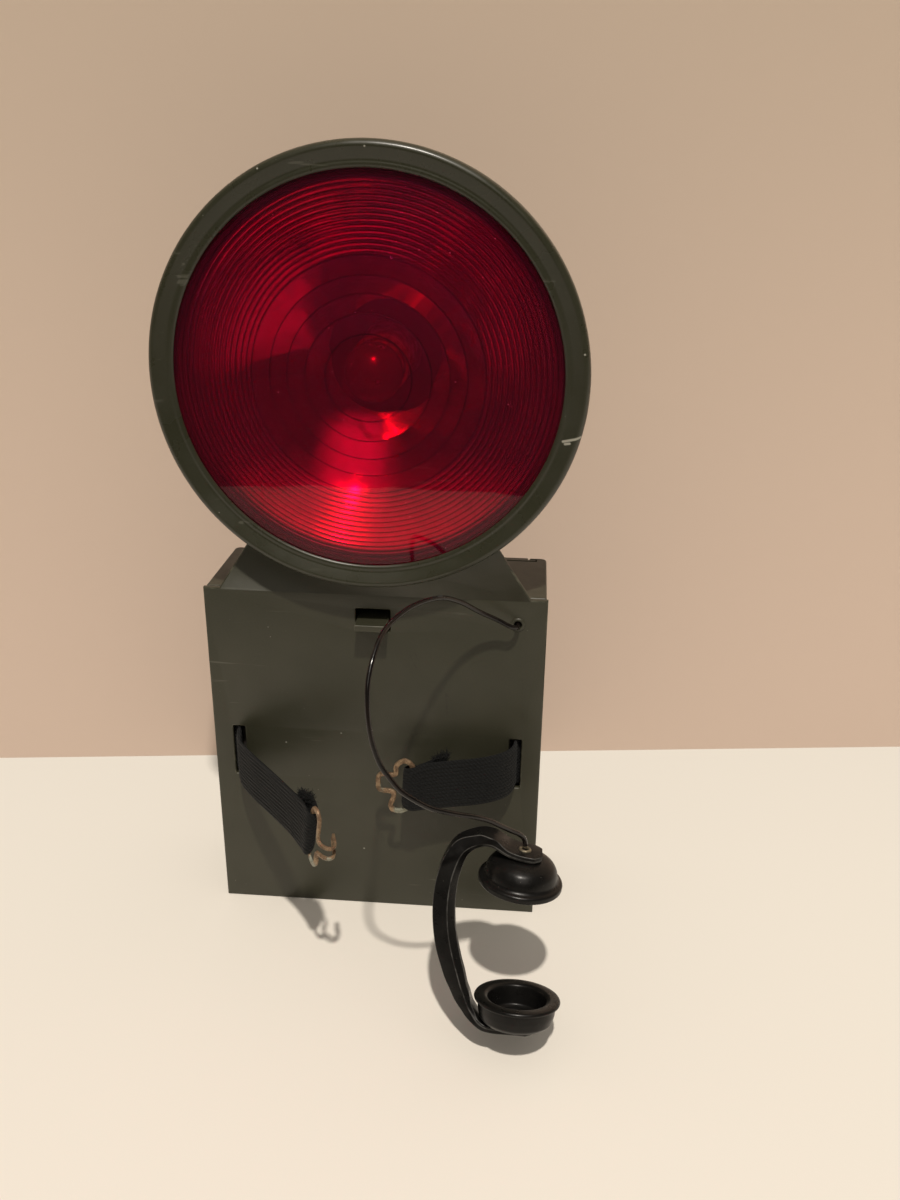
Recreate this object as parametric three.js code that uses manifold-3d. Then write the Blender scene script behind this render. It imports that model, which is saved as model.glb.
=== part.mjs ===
// A small pack-type morse signal lamp. A flat battery box carries a round lamp head with a
// red ringed lens, a morse key comes out of a window in the front plate, two elastic straps
// with wire clasps come out of slots, and a toy-sized telephone handset hangs on a stiff lead.
// Millimetres. X runs to the right, Y away from the front, Z up. The origin is the middle of
// the box's underside.
import * as THREE from 'three';
import { mergeVertices } from 'three/addons/utils/BufferGeometryUtils.js';
import Module from 'manifold-3d';

const wasm = await Module();
wasm.setup();

// Gaps and overruns
const gap = 0.3;
const pinGap = 0.15;
const overrun = 1;

// Battery, which the box is made round
const batteryWidth = 60.5;
const batteryDepth = 20;
const batteryHeight = 63.5;
const batteryEdge = 1.5;
const batterySideRoom = 3.25;
const batteryFrontRoom = 1.4;
const batteryHeadroom = 10;
const stripWidth = 6.5;
const stripRise = 1.6;
const stripPlace = 18;
const longStripLength = 12;
const shortStripLength = 9;

// Box
const plateThickness = 1.2;
const wall = 1.2;
const housingStep = 0.3;
const doorTongueThickness = 0.7;
const doorPanelThickness = 1;
const shoulderLand = 3.4;
const neckSlopeDegrees = 57;
const rearEdgeRadius = 1.3;
const boxWidth = batteryWidth + 2 * (batterySideRoom + wall + housingStep);
const doorDepth = doorTongueThickness + doorPanelThickness;
const boxDepth = plateThickness + batteryFrontRoom + batteryDepth + gap + doorDepth;
const batteryBottom = wall + gap;
const batteryTop = batteryBottom + batteryHeight;
const shoulderHeight = batteryTop + batteryHeadroom + wall;
const front = -boxDepth / 2;
const rear = boxDepth / 2;
const plateBack = front + plateThickness;
const housingFront = plateBack + gap;
const housingHalfWidth = boxWidth / 2 - housingStep;
const cavityHalfWidth = housingHalfWidth - wall;
const ceiling = shoulderHeight - wall;

// Lamp head
const bezelRadius = 40.5;
const headLift = 3;
const headHeight = shoulderHeight + bezelRadius + headLift;
const bezelDepth = 4.9;
const bezelWidth = 4.6;
const bezelOpening = bezelRadius - bezelWidth;
const bezelLipThickness = 1.3;
const bezelBeadWidth = 1;
const bezelBeadRise = 0.35;
const bezelEdge = 1.3;
const bezelFaceFall = 0.7;
const discInset = 1.1;
const plateDiscRadius = bezelRadius - discInset;
const lensSeatWidth = 1.4;
const plateOpeningRadius = bezelOpening - lensSeatWidth;
const lensInset = 3.3;
const lensOverlap = 1.6;
const lensRadius = bezelOpening + lensOverlap;
const lensThickness = 1.8;
const lensRimWidth = 1.8;
const lensCoreShare = 0.223;
const lensCoreRadius = lensCoreShare * bezelOpening;
const coarseRingShares = [0.326, 0.421, 0.51, 0.604];
const coarseRingDepth = 0.6;
const fineRingPitch = 2;
const fineRingDepth = 0.4;
const shellInset = 1.9;
const shellRadius = bezelRadius - shellInset;
const shellWall = 1;
const shellProfileShares = [
  [1, 0], [0.995, 0.17], [0.946, 0.41], [0.842, 0.65], [0.674, 0.86], [0.466, 0.98], [0.34, 1],
];
const reflectorInset = 0.5;
const reflectorRadius = plateOpeningRadius - reflectorInset;
const reflectorWall = 0.6;
const reflectorFlange = 3;
const reflectorProfileShares = [[1, 0], [0.976, 0.1], [0.89, 0.38], [0.73, 0.65], [0.53, 0.86], [0.288, 1]];

// Bulb and its holder
const bulbStandoff = 0.9;
const bulbBaseRadius = 4.75;
const bulbBaseLength = 8.4;
const bulbGlassRadius = 5.5;
const bulbGlassLength = 11.2;
const bulbGlassWall = 0.5;
const bulbTipRadius = 1.6;
const bulbTipLength = 0.8;
const holderWall = 0.5;
const holderLength = 8;
const insulatorRadius = 11;
const insulatorThickness = 1;
const insulatorLap = 0.1;
const contactThickness = 0.4;
const contactStripWidth = 5;
const contactStripLength = 14;
const bulbGlassTip = front - lensInset + lensThickness + bulbStandoff;
const bulbBaseFront = bulbGlassTip + bulbGlassLength + gap;
const bulbBaseBack = bulbBaseFront + bulbBaseLength;
const bulbTipFront = bulbBaseBack + gap;
const bulbTipBack = bulbTipFront + bulbTipLength;
const stripFront = bulbTipBack + gap;
const stripBack = stripFront + contactThickness;
const shellBack = stripBack + gap + shellWall;
const insulatorFront = bulbBaseBack - insulatorLap - insulatorThickness;
const reflectorBack = insulatorFront - gap - reflectorWall;
const filamentRadius = 0.15;
const filamentSpread = 1.6;
const filamentReach = 5;

// Neck duct for the two lamp leads
const ductHalfWidth = 7;
const ductWall = 1;
const ductFront = 5;
const ductDepth = 9.5;
const leadRadius = 0.45;
// Places on the lamp leads: across the duct, and down from the lamp's middle towards the shell's rim
const liveLeadShares = [[0.5, 0.77], [0.4, 0.5], [0.25, 0.33]];
const returnLeadShares = [[-0.5, 0.77], [-0.55, 0.5], [-0.57, 0.33]];

// Morse key
const windowWidth = 7.1;
const windowHeight = 4.9;
const windowDrop = 3.3;
const windowTop = shoulderHeight - windowDrop;
const windowOffset = -0.25;
const keyWidth = 6.5;
const keyThickness = 1.4;
const keyDrop = 2;
const keyTop = windowTop - keyDrop;
const keyReach = 3.9;
const keyHubRadius = 1.8;
const keyPivotDepth = 13;
const keyPinRadius = 0.7;
const bracketWall = 1.2;
const bracketFloorThickness = 0.9;
const bracketRise = 2.4;
const bracketEarLength = 4.5;
const keyFloorGap = 2.6;
const bridgeThickness = 0.5;
const bridgeDepth = 3;
const bridgePlace = 4;
const bridgeContactGap = 1.1;
const fixedContactSplit = 1.2;
const fixedContactReach = 8;
const keySpringRadius = 1.3;
const keySpringWire = 0.18;
const keySpringTurns = 3;
const keySpringPlace = 8.6;

// Battery door, which lifts out through the top
const doorSideInset = 4.3;
const doorHalfWidth = boxWidth / 2 - doorSideInset;
const doorTongueWidth = 1.6;
const doorRibWidth = 1.2;
const doorGripGrooves = 5;
const doorGripPitch = 2.4;
const doorGripWidth = 22;
const doorGripHeight = 1;
const doorGripDepth = 0.5;
const doorGripDrop = 6.2;

// Housing screws
const screwInset = 13;
const screwPlace = boxWidth / 2 - screwInset;
const screwDrop = 5;
const screwHeight = shoulderHeight - screwDrop;
const bossRadius = 2.2;
const bossLength = 4.8;
const lugWidth = 5;
const lugThickness = 2.5;
const lugDrop = 6.7;
const screwHeadRadius = 1.7;
const screwHeadLength = 1.1;
const screwShankRadius = 0.75;
const screwLength = 5.8;
const screwSlotWidth = 0.5;
const screwSlotDepth = 0.4;

// Straps, their slots and retaining bars
const slotInset = 5.4;
const slotPlace = boxWidth / 2 - slotInset;
const slotWidth = 2.6;
const slotHeight = 11.8;
const slotBottom = 32.6;
const strapWidth = 11.2;
const strapThickness = 0.8;
const strapStandoff = 0.2;
const tailInset = 0.1;
const tailRun = 3.3;
const tailDepth = 1.85;
const tailShares = [[0, 0], [0.03, 0.43], [0.21, 0.89], [0.48, 1], [1, 1]];
const leftStrapAcross = 19.6;
const leftStrapOut = 23.5;
const leftStrapDroop = 3.1;
const leftStrapShares = [[0, 0], [0.053, 0.17], [0.223, 0.349], [0.466, 0.545], [0.733, 0.766], [1, 1]];
const rightStrapAcross = 20.45;
const rightStrapOut = 6.6;
const rightStrapDroop = 2.7;
const rightStrapShares = [[0, 0], [0.04, 0.39], [0.13, 0.67], [0.33, 0.89], [0.67, 0.97], [1, 1]];
const barRadius = 0.6;
const barLength = 15;
const barLugLength = 1.5;

// Wire clasps, as shares: along from the strap and sideways of the scale, and up of the height.
// The right one is a flat eye; the left one has its nose bent over as a hook.
const claspHeight = 13.4;
const claspScale = 11.6;
const claspWireRadius = 0.55;
const leftClaspTurnDegrees = -57;
const rightClaspTurnDegrees = 180;
const eyeShares = [
  [0, 0, 0.03], [0, 0, 0.2], [0.005, 0, 0.33], [0.08, 0, 0.425], [0.18, 0, 0.455], [0.27, 0, 0.4],
  [0.31, 0, 0.32], [0.295, 0, 0.22], [0.31, 0, 0.145], [0.37, 0, 0.115], [0.43, 0, 0.135],
  [0.5, 0, 0.2], [0.565, 0, 0.195], [0.61, 0, 0.12], [0.6, 0, 0.02], [0.575, 0, -0.07],
  [0.5, 0, -0.105], [0.4, 0, -0.09], [0.32, 0, -0.1], [0.29, 0, -0.17], [0.315, 0, -0.26],
  [0.34, 0, -0.35], [0.29, 0, -0.43], [0.19, 0, -0.455], [0.08, 0, -0.43], [0.005, 0, -0.34],
  [0, 0, -0.2], [0, 0, -0.03],
];
const hookShares = [
  [0, 0, 0.03], [0, 0, 0.2], [0.005, 0, 0.35], [0.08, 0, 0.44], [0.2, 0, 0.445], [0.29, 0, 0.37],
  [0.3, 0, 0.22], [0.3, 0, 0.09], [0.335, 0, 0.015], [0.43, 0.012, 0], [0.525, 0.045, 0],
  [0.585, 0.1, 0], [0.57, 0.18, 0], [0.465, 0.24, 0], [0.335, 0.275, 0], [0.235, 0.31, -0.01],
  [0.2, 0.32, -0.085], [0.235, 0.31, -0.16], [0.335, 0.275, -0.17], [0.465, 0.24, -0.17],
  [0.57, 0.18, -0.17], [0.585, 0.1, -0.17], [0.525, 0.045, -0.17], [0.43, 0.012, -0.17],
  [0.335, 0, -0.185], [0.3, 0, -0.26], [0.3, 0, -0.36], [0.22, 0, -0.44], [0.1, 0, -0.44],
  [0.01, 0, -0.37], [0, 0, -0.2], [0, 0, -0.03],
];

// Handset lead, by hand from its hole to the earpiece's eyelet
const leadHoleInset = 5.85;
const leadHoleDrop = 5.3;
const leadHolePlace = boxWidth / 2 - leadHoleInset;
const leadHoleHeight = shoulderHeight - leadHoleDrop;
const leadHoleRadius = 0.8;
const handsetLeadRadius = 0.48;
const leadKnotRadius = 1.5;
const leadStubRise = 0.15;
const leadKnotLength = 2;
const leadRoute = [
  [29.15, -12.8, 70.9], [29, -13.9, 70.95], [27.9, -15, 71.5], [25.2, -15.8, 73.2],
  [21.7, -17.7, 75.6], [18, -21.6, 79.2], [14.6, -26.3, 81.8], [10.6, -32.3, 82.7], [8.3, -36.1, 82.3],
  [6.2, -40.6, 81.2], [5, -45.3, 78.8], [4.4, -48.5, 75.4], [4.4, -49.9, 72.3], [4.6, -50.7, 69.3],
  [5.3, -51.3, 65], [6.7, -51.5, 60.7], [8.2, -51.3, 58.1], [10, -51.1, 55.6], [12.4, -50.5, 53.4],
  [15.1, -49.3, 51.1], [17.7, -47.9, 49.5], [20.3, -46.3, 48], [22.9, -44.5, 46.5], [25.6, -42.4, 44.4],
  [27.5, -41, 42.5], [29.4, -39.4, 40.5], [31, -38.2, 39], [32.1, -37.4, 37.4], [32.4, -37.25, 35.8],
];

// Handset
const earAcross = 31.6;
const earStandoff = 26;
const earHeight = 27.8;
const earLeanDegrees = 8;
const earTiltDegrees = 6;
const mouthAcross = 32;
const mouthStandoff = 38.3;
const mouthHeight = 11.3;
const mouthLeanDegrees = 20;
const mouthTiltDegrees = 2;
const cupRimRadius = 8.2;
const cupRimThickness = 1;
const earBodyRadius = 7;
const earRise = 5.7;
const earWall = 0.9;
const earCrownRadius = 3.8;
const mouthBodyRadius = 7.4;
const mouthOpeningRadius = 5.8;
const mouthDepth = 5;
const mouthFloorThickness = 0.9;
const mouthFloorRadius = 6;
const tongueThickness = 1.1;
const tongueWidth = 6;
const tongueOverhang = 3.4;
const gripThickness = 4.3;
const gripWidth = 4;
const handleReach = 14.8;
const handleEdge = 0.3;
const eyeletRadius = 1.35;
const eyeletTubeRadius = 0.95;
const eyeletBore = 0.6;
const eyeletFlange = 0.4;
const eyeletLength = 2.6;
const rivetHeadHeight = 0.5;
// Along the line from tongue to tongue, out from it, thickness and width, as shares
const handleStationShares = [
  [-0.024, 0.2, 0, 1], [-0.073, 0.42, 0.25, 0.75], [-0.068, 0.62, 0.5, 0.35], [-0.007, 0.83, 0.8, 0.1],
  [0.127, 0.953, 0.95, 0], [0.28, 1, 1, 0], [0.426, 0.986, 1, 0], [0.562, 0.93, 1, 0],
  [0.7, 0.83, 0.9, 0.05], [0.82, 0.72, 0.65, 0.15], [0.915, 0.6, 0.3, 0.4],
  [0.98, 0.46, 0.05, 0.8], [1, 0.3, 0, 1],
];

// Facets
const roundSides = 48;
const cupSides = 24;
const smallSides = 16;
const wireSides = 8;
const fineWireSides = 6;
const arcSteps = 36;
const claspSteps = 84;
const springSteps = 36;
const handsetLeadSteps = 56;
const lampLeadSteps = 30;
const edgeSteps = 3;

const materials = {
  olive: new THREE.MeshStandardMaterial({ color: 0x46443a, roughness: 0.5, metalness: 0.05 }),
  bezel: new THREE.MeshStandardMaterial({ color: 0x3f3c30, roughness: 0.4, metalness: 0.05 }),
  red: new THREE.MeshStandardMaterial({ color: 0xb01030, roughness: 0.15, transparent: true, opacity: 0.6 }),
  mirror: new THREE.MeshStandardMaterial({ color: 0xd8d8d8, roughness: 0.12, metalness: 1 }),
  glass: new THREE.MeshStandardMaterial({ color: 0xe8f0f0, roughness: 0.05, transparent: true, opacity: 0.35 }),
  brass: new THREE.MeshStandardMaterial({ color: 0x9a7440, roughness: 0.4, metalness: 0.9 }),
  steel: new THREE.MeshStandardMaterial({ color: 0xa8a8a4, roughness: 0.35, metalness: 0.9 }),
  insulator: new THREE.MeshStandardMaterial({ color: 0x241c16, roughness: 0.7, metalness: 0 }),
  card: new THREE.MeshStandardMaterial({ color: 0x3a5a7a, roughness: 0.8, metalness: 0 }),
  elastic: new THREE.MeshStandardMaterial({ color: 0x222320, roughness: 0.9, metalness: 0 }),
  black: new THREE.MeshStandardMaterial({ color: 0x2a2826, roughness: 0.4, metalness: 0 }),
  wire: new THREE.MeshStandardMaterial({ color: 0x2a1c16, roughness: 0.3, metalness: 0 }),
};

const model = new THREE.Group();

function addPart(name, geometry, material) {
  const mesh = new THREE.Mesh(geometry, material);
  mesh.name = name;
  model.add(mesh);
  return mesh;
}

// Solids for cutting and joining
function solid(geometry) {
  const bare = geometry.clone();
  bare.deleteAttribute('normal');
  bare.deleteAttribute('uv');
  const merged = mergeVertices(bare);
  const indices = merged.index.array;
  return new wasm.Manifold(new wasm.Mesh({
    numProp: 3,
    vertProperties: new Float32Array(merged.attributes.position.array),
    triVerts: new Uint32Array(indices),
  }));
}

function geometryOf(manifold) {
  const mesh = manifold.getMesh();
  const geometry = new THREE.BufferGeometry();
  geometry.setAttribute('position', new THREE.BufferAttribute(new Float32Array(mesh.vertProperties), 3));
  geometry.setIndex(new THREE.BufferAttribute(new Uint32Array(mesh.triVerts), 1));
  geometry.computeVertexNormals();
  return geometry;
}

function boxBetween(low, high) {
  const size = high.map((value, axis) => value - low[axis]);
  const middle = high.map((value, axis) => (value + low[axis]) / 2);
  return new THREE.BoxGeometry(...size).translate(...middle);
}

function boxSolid(low, high) {
  return solid(boxBetween(low, high));
}

// A round bar along Y from one depth to another
function barAlongY(radius, from, to, x, z, sides = smallSides) {
  const bar = new THREE.CylinderGeometry(radius, radius, to - from, sides);
  return bar.translate(x, (from + to) / 2, z);
}

function barAlongX(radius, from, to, y, z) {
  const bar = new THREE.CylinderGeometry(radius, radius, to - from, smallSides);
  return bar.rotateZ(Math.PI / 2).translate((from + to) / 2, y, z);
}

// A closed profile of [radius, depth] turned about the lamp head's axis, which runs along Y
function turned(profile, sides) {
  const points = profile.map(([radius, depth]) => new THREE.Vector2(radius, depth));
  return new THREE.LatheGeometry(points, sides);
}

function turnedAtHead(profile, sides = roundSides) {
  return turned(profile, sides).translate(0, 0, headHeight);
}

// An outline in X and Z, thickened along Y between two depths
function plateBetween(shape, from, to) {
  const options = { depth: to - from, bevelEnabled: false, curveSegments: arcSteps };
  const geometry = new THREE.ExtrudeGeometry(shape, options);
  return geometry.rotateX(Math.PI / 2).translate(0, to, 0);
}

function tubeAlong(curve, radius, sides, steps) {
  const section = new THREE.Shape();
  for (let side = 0; side < sides; side += 1) {
    const angle = (side / sides) * 2 * Math.PI;
    const x = radius * Math.cos(angle);
    const y = radius * Math.sin(angle);
    if (side === 0) section.moveTo(x, y);
    else section.lineTo(x, y);
  }
  section.closePath();
  return new THREE.ExtrudeGeometry(section, { steps, extrudePath: curve, bevelEnabled: false });
}

function curveThrough(points) {
  const places = points.map((point) => new THREE.Vector3(...point));
  return new THREE.CatmullRomCurve3(places, false, 'centripetal');
}

// Rings of points joined into one closed skin, with a flat cap at each end
function lofted(rings) {
  const count = rings[0].length;
  const positions = rings.flat().flatMap((point) => [point.x, point.y, point.z]);
  const indices = [];
  for (let ring = 0; ring + 1 < rings.length; ring += 1) {
    for (let corner = 0; corner < count; corner += 1) {
      const here = ring * count + corner;
      const next = ring * count + ((corner + 1) % count);
      indices.push(here, next, next + count, here, next + count, here + count);
    }
  }
  const last = (rings.length - 1) * count;
  for (let corner = 1; corner + 1 < count; corner += 1) {
    indices.push(0, corner + 1, corner);
    indices.push(last, last + corner, last + corner + 1);
  }
  const geometry = new THREE.BufferGeometry();
  geometry.setAttribute('position', new THREE.Float32BufferAttribute(positions, 3));
  geometry.setIndex(indices);
  geometry.computeVertexNormals();
  return geometry;
}

// Front plate: rectangle, sloping shoulders and the disc behind the bezel, in one moulding
function plateOutline() {
  const half = boxWidth / 2;
  const landX = half - shoulderLand;
  const slope = THREE.MathUtils.degToRad(neckSlopeDegrees);
  const direction = new THREE.Vector2(-Math.cos(slope), Math.sin(slope));
  const start = new THREE.Vector2(landX, shoulderHeight - headHeight);
  const along = start.dot(direction);
  const reach = -along - Math.sqrt(along * along - start.lengthSq() + plateDiscRadius * plateDiscRadius);
  const meet = start.clone().addScaledVector(direction, reach);
  const meetAngle = Math.atan2(meet.y, meet.x);
  const shape = new THREE.Shape();
  shape.moveTo(-half, 0);
  shape.lineTo(half, 0);
  shape.lineTo(half, shoulderHeight);
  shape.lineTo(landX, shoulderHeight);
  shape.absarc(0, headHeight, plateDiscRadius, meetAngle, Math.PI - meetAngle, false);
  shape.lineTo(-landX, shoulderHeight);
  shape.lineTo(-half, shoulderHeight);
  shape.closePath();
  return shape;
}

const windowBottom = windowTop - windowHeight;
const bracketFloorTop = keyTop - keyThickness - keyFloorGap;
const bracketFloorBottom = bracketFloorTop - bracketFloorThickness;
const bracketInner = keyWidth / 2 + gap;
const bracketOuter = bracketInner + bracketWall;
const keyPivotY = front + keyPivotDepth;
const keyPivotZ = keyTop - keyThickness / 2;
const earFront = keyPivotY - bracketEarLength / 2;
const earBack = keyPivotY + bracketEarLength / 2;
const barX = slotPlace + tailRun - barRadius;
const barY = front + tailInset + tailDepth + strapThickness / 2 + gap + barRadius;
const slotMiddle = slotBottom + slotHeight / 2;

function keyBracket() {
  const floor = boxSolid(
    [windowOffset - bracketOuter, plateBack - overrun / 2, bracketFloorBottom],
    [windowOffset + bracketOuter, earBack, bracketFloorTop],
  );
  const ears = [-1, 1].map((side) => {
    const inner = windowOffset + side * bracketInner;
    const outer = windowOffset + side * bracketOuter;
    return boxSolid(
      [Math.min(inner, outer), earFront, bracketFloorBottom],
      [Math.max(inner, outer), earBack, keyPivotZ + bracketRise],
    );
  });
  const pinHole = solid(barAlongX(
    keyPinRadius + pinGap,
    windowOffset - bracketOuter - overrun,
    windowOffset + bracketOuter + overrun,
    keyPivotY,
    keyPivotZ,
  ));
  return floor.add(ears[0]).add(ears[1]).subtract(pinHole);
}

function barLugs(side) {
  const low = Math.min(side * (barX - barRadius), side * (barX + barRadius));
  const high = Math.max(side * (barX - barRadius), side * (barX + barRadius));
  const ends = [-1, 1].map((end) => {
    const near = slotMiddle + end * (barLength / 2 + gap);
    const far = near + end * barLugLength;
    return boxSolid(
      [low, plateBack - overrun / 2, Math.min(near, far)],
      [high, barY + barRadius, Math.max(near, far)],
    );
  });
  return ends[0].add(ends[1]);
}

function screwBoss(side) {
  const x = side * screwPlace;
  const body = solid(barAlongY(bossRadius, plateBack - overrun / 2, plateBack + bossLength, x, screwHeight));
  const holeStart = plateBack + bossLength + lugThickness + gap - screwLength;
  const holeEnd = plateBack + bossLength + overrun;
  const hole = solid(barAlongY(screwShankRadius + pinGap, holeStart, holeEnd, x, screwHeight));
  return body.subtract(hole);
}

function frontPlate() {
  const from = front - overrun;
  const to = plateBack + overrun;
  let plate = solid(plateBetween(plateOutline(), front, plateBack));
  plate = plate.subtract(solid(barAlongY(plateOpeningRadius, from, to, 0, headHeight, roundSides)));
  plate = plate.subtract(boxSolid(
    [windowOffset - windowWidth / 2, from, windowBottom],
    [windowOffset + windowWidth / 2, to, windowTop],
  ));
  plate = plate.subtract(solid(barAlongY(leadHoleRadius, from, to, leadHolePlace, leadHoleHeight)));
  for (const side of [-1, 1]) {
    plate = plate.subtract(boxSolid(
      [side * slotPlace - slotWidth / 2, from, slotBottom],
      [side * slotPlace + slotWidth / 2, to, slotBottom + slotHeight],
    ));
    plate = plate.add(screwBoss(side)).add(barLugs(side));
  }
  return plate.add(keyBracket());
}

// Rear housing: a box open to the front plate, with grooves that the battery door slides in
const doorInner = rear - doorDepth;
const batteryBack = doorInner - gap;
const batteryFront = batteryBack - batteryDepth;
const doorBottom = wall + gap;
const ribFront = batteryBack - doorRibWidth;
const doorOpening = doorHalfWidth + gap;

function roundedPlan() {
  const half = housingHalfWidth;
  const shape = new THREE.Shape();
  shape.moveTo(-half, housingFront);
  shape.lineTo(half, housingFront);
  shape.absarc(half - rearEdgeRadius, rear - rearEdgeRadius, rearEdgeRadius, 0, Math.PI / 2, false);
  shape.absarc(-half + rearEdgeRadius, rear - rearEdgeRadius, rearEdgeRadius, Math.PI / 2, Math.PI, false);
  shape.closePath();
  return shape;
}

function shellProfile(grow) {
  const start = plateBack + gap;
  const depth = shellBack - start;
  return shellProfileShares.map(([out, back]) => [
    shellRadius * out + grow, start + depth * back + grow * back,
  ]);
}

function shellEnvelope(grow) {
  const profile = shellProfile(grow);
  const closed = [[0, profile[0][1] - overrun], [profile[0][0], profile[0][1] - overrun], ...profile];
  closed.push([0, profile[profile.length - 1][1]]);
  return solid(turnedAtHead(closed));
}

const ductLow = front + ductFront - ductWall;
const ductHigh = front + ductFront + ductDepth + ductWall;

function neckDuct() {
  const outer = boxSolid(
    [-ductHalfWidth - ductWall, ductLow, ceiling],
    [ductHalfWidth + ductWall, ductHigh, headHeight - shellRadius / 2],
  );
  return outer.subtract(shellEnvelope(gap));
}

function ductBore(top) {
  return boxSolid(
    [-ductHalfWidth, ductLow + ductWall, ceiling - overrun],
    [ductHalfWidth, ductHigh - ductWall, top],
  );
}

function rearHousing() {
  const options = { depth: shoulderHeight, bevelEnabled: false, curveSegments: edgeSteps };
  let housing = solid(new THREE.ExtrudeGeometry(roundedPlan(), options));
  housing = housing.add(neckDuct());
  const grooveBack = rear - doorPanelThickness + gap;
  const openTop = shoulderHeight + overrun;
  const bays = [
    [cavityHalfWidth, housingFront - overrun, ribFront, ceiling],
    [doorOpening, ribFront - overrun, batteryBack, ceiling],
    [doorHalfWidth + doorTongueWidth + gap, batteryBack, grooveBack, openTop],
    [doorOpening, batteryBack, rear + overrun, openTop],
  ];
  for (const [half, from, to, top] of bays) {
    housing = housing.subtract(boxSolid([-half, from, wall], [half, to, top]));
  }
  for (const side of [-1, 1]) {
    housing = housing.add(screwLug(side));
  }
  return housing.subtract(ductBore(headHeight));
}

function screwLug(side) {
  const x = side * screwPlace;
  const lugFront = plateBack + bossLength + gap;
  const lugBack = lugFront + lugThickness;
  const lug = boxSolid(
    [x - lugWidth / 2, lugFront, ceiling - lugDrop],
    [x + lugWidth / 2, lugBack, ceiling + wall / 2],
  );
  const holeRadius = screwShankRadius + gap;
  const hole = solid(barAlongY(holeRadius, lugFront - overrun, lugBack + overrun, x, screwHeight));
  return lug.subtract(hole);
}

function housingScrew(side) {
  const x = side * screwPlace;
  const headFront = plateBack + bossLength + gap + lugThickness + gap;
  const headBack = headFront + screwHeadLength;
  const head = solid(barAlongY(screwHeadRadius, headFront, headBack, x, screwHeight));
  const shankFront = headFront + gap - screwLength;
  const shankBack = headFront + screwHeadLength / 2;
  const shank = solid(barAlongY(screwShankRadius, shankFront, shankBack, x, screwHeight));
  const slotReach = screwHeadRadius + overrun;
  const slot = boxSolid(
    [x - screwSlotWidth / 2, headBack - screwSlotDepth, screwHeight - slotReach],
    [x + screwSlotWidth / 2, headBack + overrun, screwHeight + slotReach],
  );
  return head.add(shank).subtract(slot);
}

function batteryDoor() {
  const panel = boxSolid(
    [-doorHalfWidth, doorInner, doorBottom],
    [doorHalfWidth, rear, shoulderHeight],
  );
  const tongue = boxSolid(
    [-doorHalfWidth - doorTongueWidth, doorInner, doorBottom],
    [doorHalfWidth + doorTongueWidth, rear - doorPanelThickness, shoulderHeight],
  );
  let door = panel.add(tongue);
  for (let groove = 0; groove < doorGripGrooves; groove += 1) {
    const top = shoulderHeight - doorGripDrop - groove * doorGripPitch;
    door = door.subtract(boxSolid(
      [-doorGripWidth / 2, rear - doorGripDepth, top - doorGripHeight],
      [doorGripWidth / 2, rear + overrun, top],
    ));
  }
  return door;
}

// Bezel ring: a rounded outer edge, a gently falling face and a bead round the lens
function bezelRing() {
  const back = front - gap;
  const face = front - bezelDepth;
  const innerFace = face + bezelFaceFall;
  const lipBack = front - lensInset - gap;
  const bore = lensRadius + gap;
  const beadOut = bezelOpening + bezelBeadWidth;
  const bend = [];
  for (let step = 0; step <= edgeSteps; step += 1) {
    const angle = (step / edgeSteps) * Math.PI / 2;
    bend.push([
      bezelRadius - bezelEdge + bezelEdge * Math.sin(angle),
      face + bezelEdge - bezelEdge * Math.cos(angle),
    ]);
  }
  return turnedAtHead([
    [bezelOpening, lipBack],
    [bezelOpening, innerFace + bezelBeadRise],
    [bezelOpening + bezelBeadWidth / 4, innerFace - bezelBeadRise],
    [beadOut - bezelBeadWidth / 4, innerFace - bezelBeadRise],
    [beadOut, innerFace],
    ...bend,
    [bezelRadius, back - bezelLipThickness / 4],
    [bezelRadius - bezelLipThickness / 4, back],
    [bore, back],
    [bore, lipBack],
    [bezelOpening, lipBack],
  ]);
}

// Lens: smooth in front, stepped rings behind, and a thicker rim that stands on the plate
function redLens() {
  const face = front - lensInset;
  const back = face + lensThickness;
  const rimInner = lensRadius - lensRimWidth;
  const edges = [lensCoreRadius, ...coarseRingShares.map((share) => share * bezelOpening)];
  const coarseEnd = edges[edges.length - 1];
  const fineRings = Math.floor((rimInner - gap - coarseEnd) / fineRingPitch);
  for (let ring = 1; ring <= fineRings; ring += 1) edges.push(coarseEnd + ring * fineRingPitch);
  const foot = front - gap;
  const profile = [[0, face], [lensRadius, face], [lensRadius, foot], [rimInner, foot], [rimInner, back]];
  for (let ring = edges.length - 1; ring > 0; ring -= 1) {
    const depth = ring < coarseRingShares.length + 1 ? coarseRingDepth : fineRingDepth;
    profile.push([edges[ring], back], [edges[ring], back - depth]);
  }
  profile.push([lensCoreRadius, back], [0, back]);
  return turnedAtHead(profile);
}

// Back shell of the head, with an opening over the neck duct
function headShell() {
  const inner = shellProfile(-shellWall);
  const firstY = shellProfile(0)[0][1];
  const lastInner = inner[inner.length - 1];
  const cavity = [[0, firstY - overrun], [inner[0][0], firstY - overrun], [inner[0][0], firstY]];
  cavity.push(...inner.slice(1), [0, lastInner[1]]);
  const outer = shellProfile(0);
  const body = [[0, firstY], ...outer, [0, outer[outer.length - 1][1]]];
  const shell = solid(turnedAtHead(body)).subtract(solid(turnedAtHead(cavity)));
  const leadOpening = boxSolid(
    [-ductHalfWidth + ductWall, ductLow + 2 * ductWall, headHeight - shellRadius - overrun],
    [ductHalfWidth - ductWall, ductHigh - 2 * ductWall, headHeight - shellRadius / 2 - ductHalfWidth],
  );
  return shell.subtract(leadOpening);
}

function reflectorProfile(grow) {
  const start = plateBack + gap;
  const depth = reflectorBack - start;
  return reflectorProfileShares.map(([out, back]) => [
    reflectorRadius * out + grow, start + depth * back + grow,
  ]);
}

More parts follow.
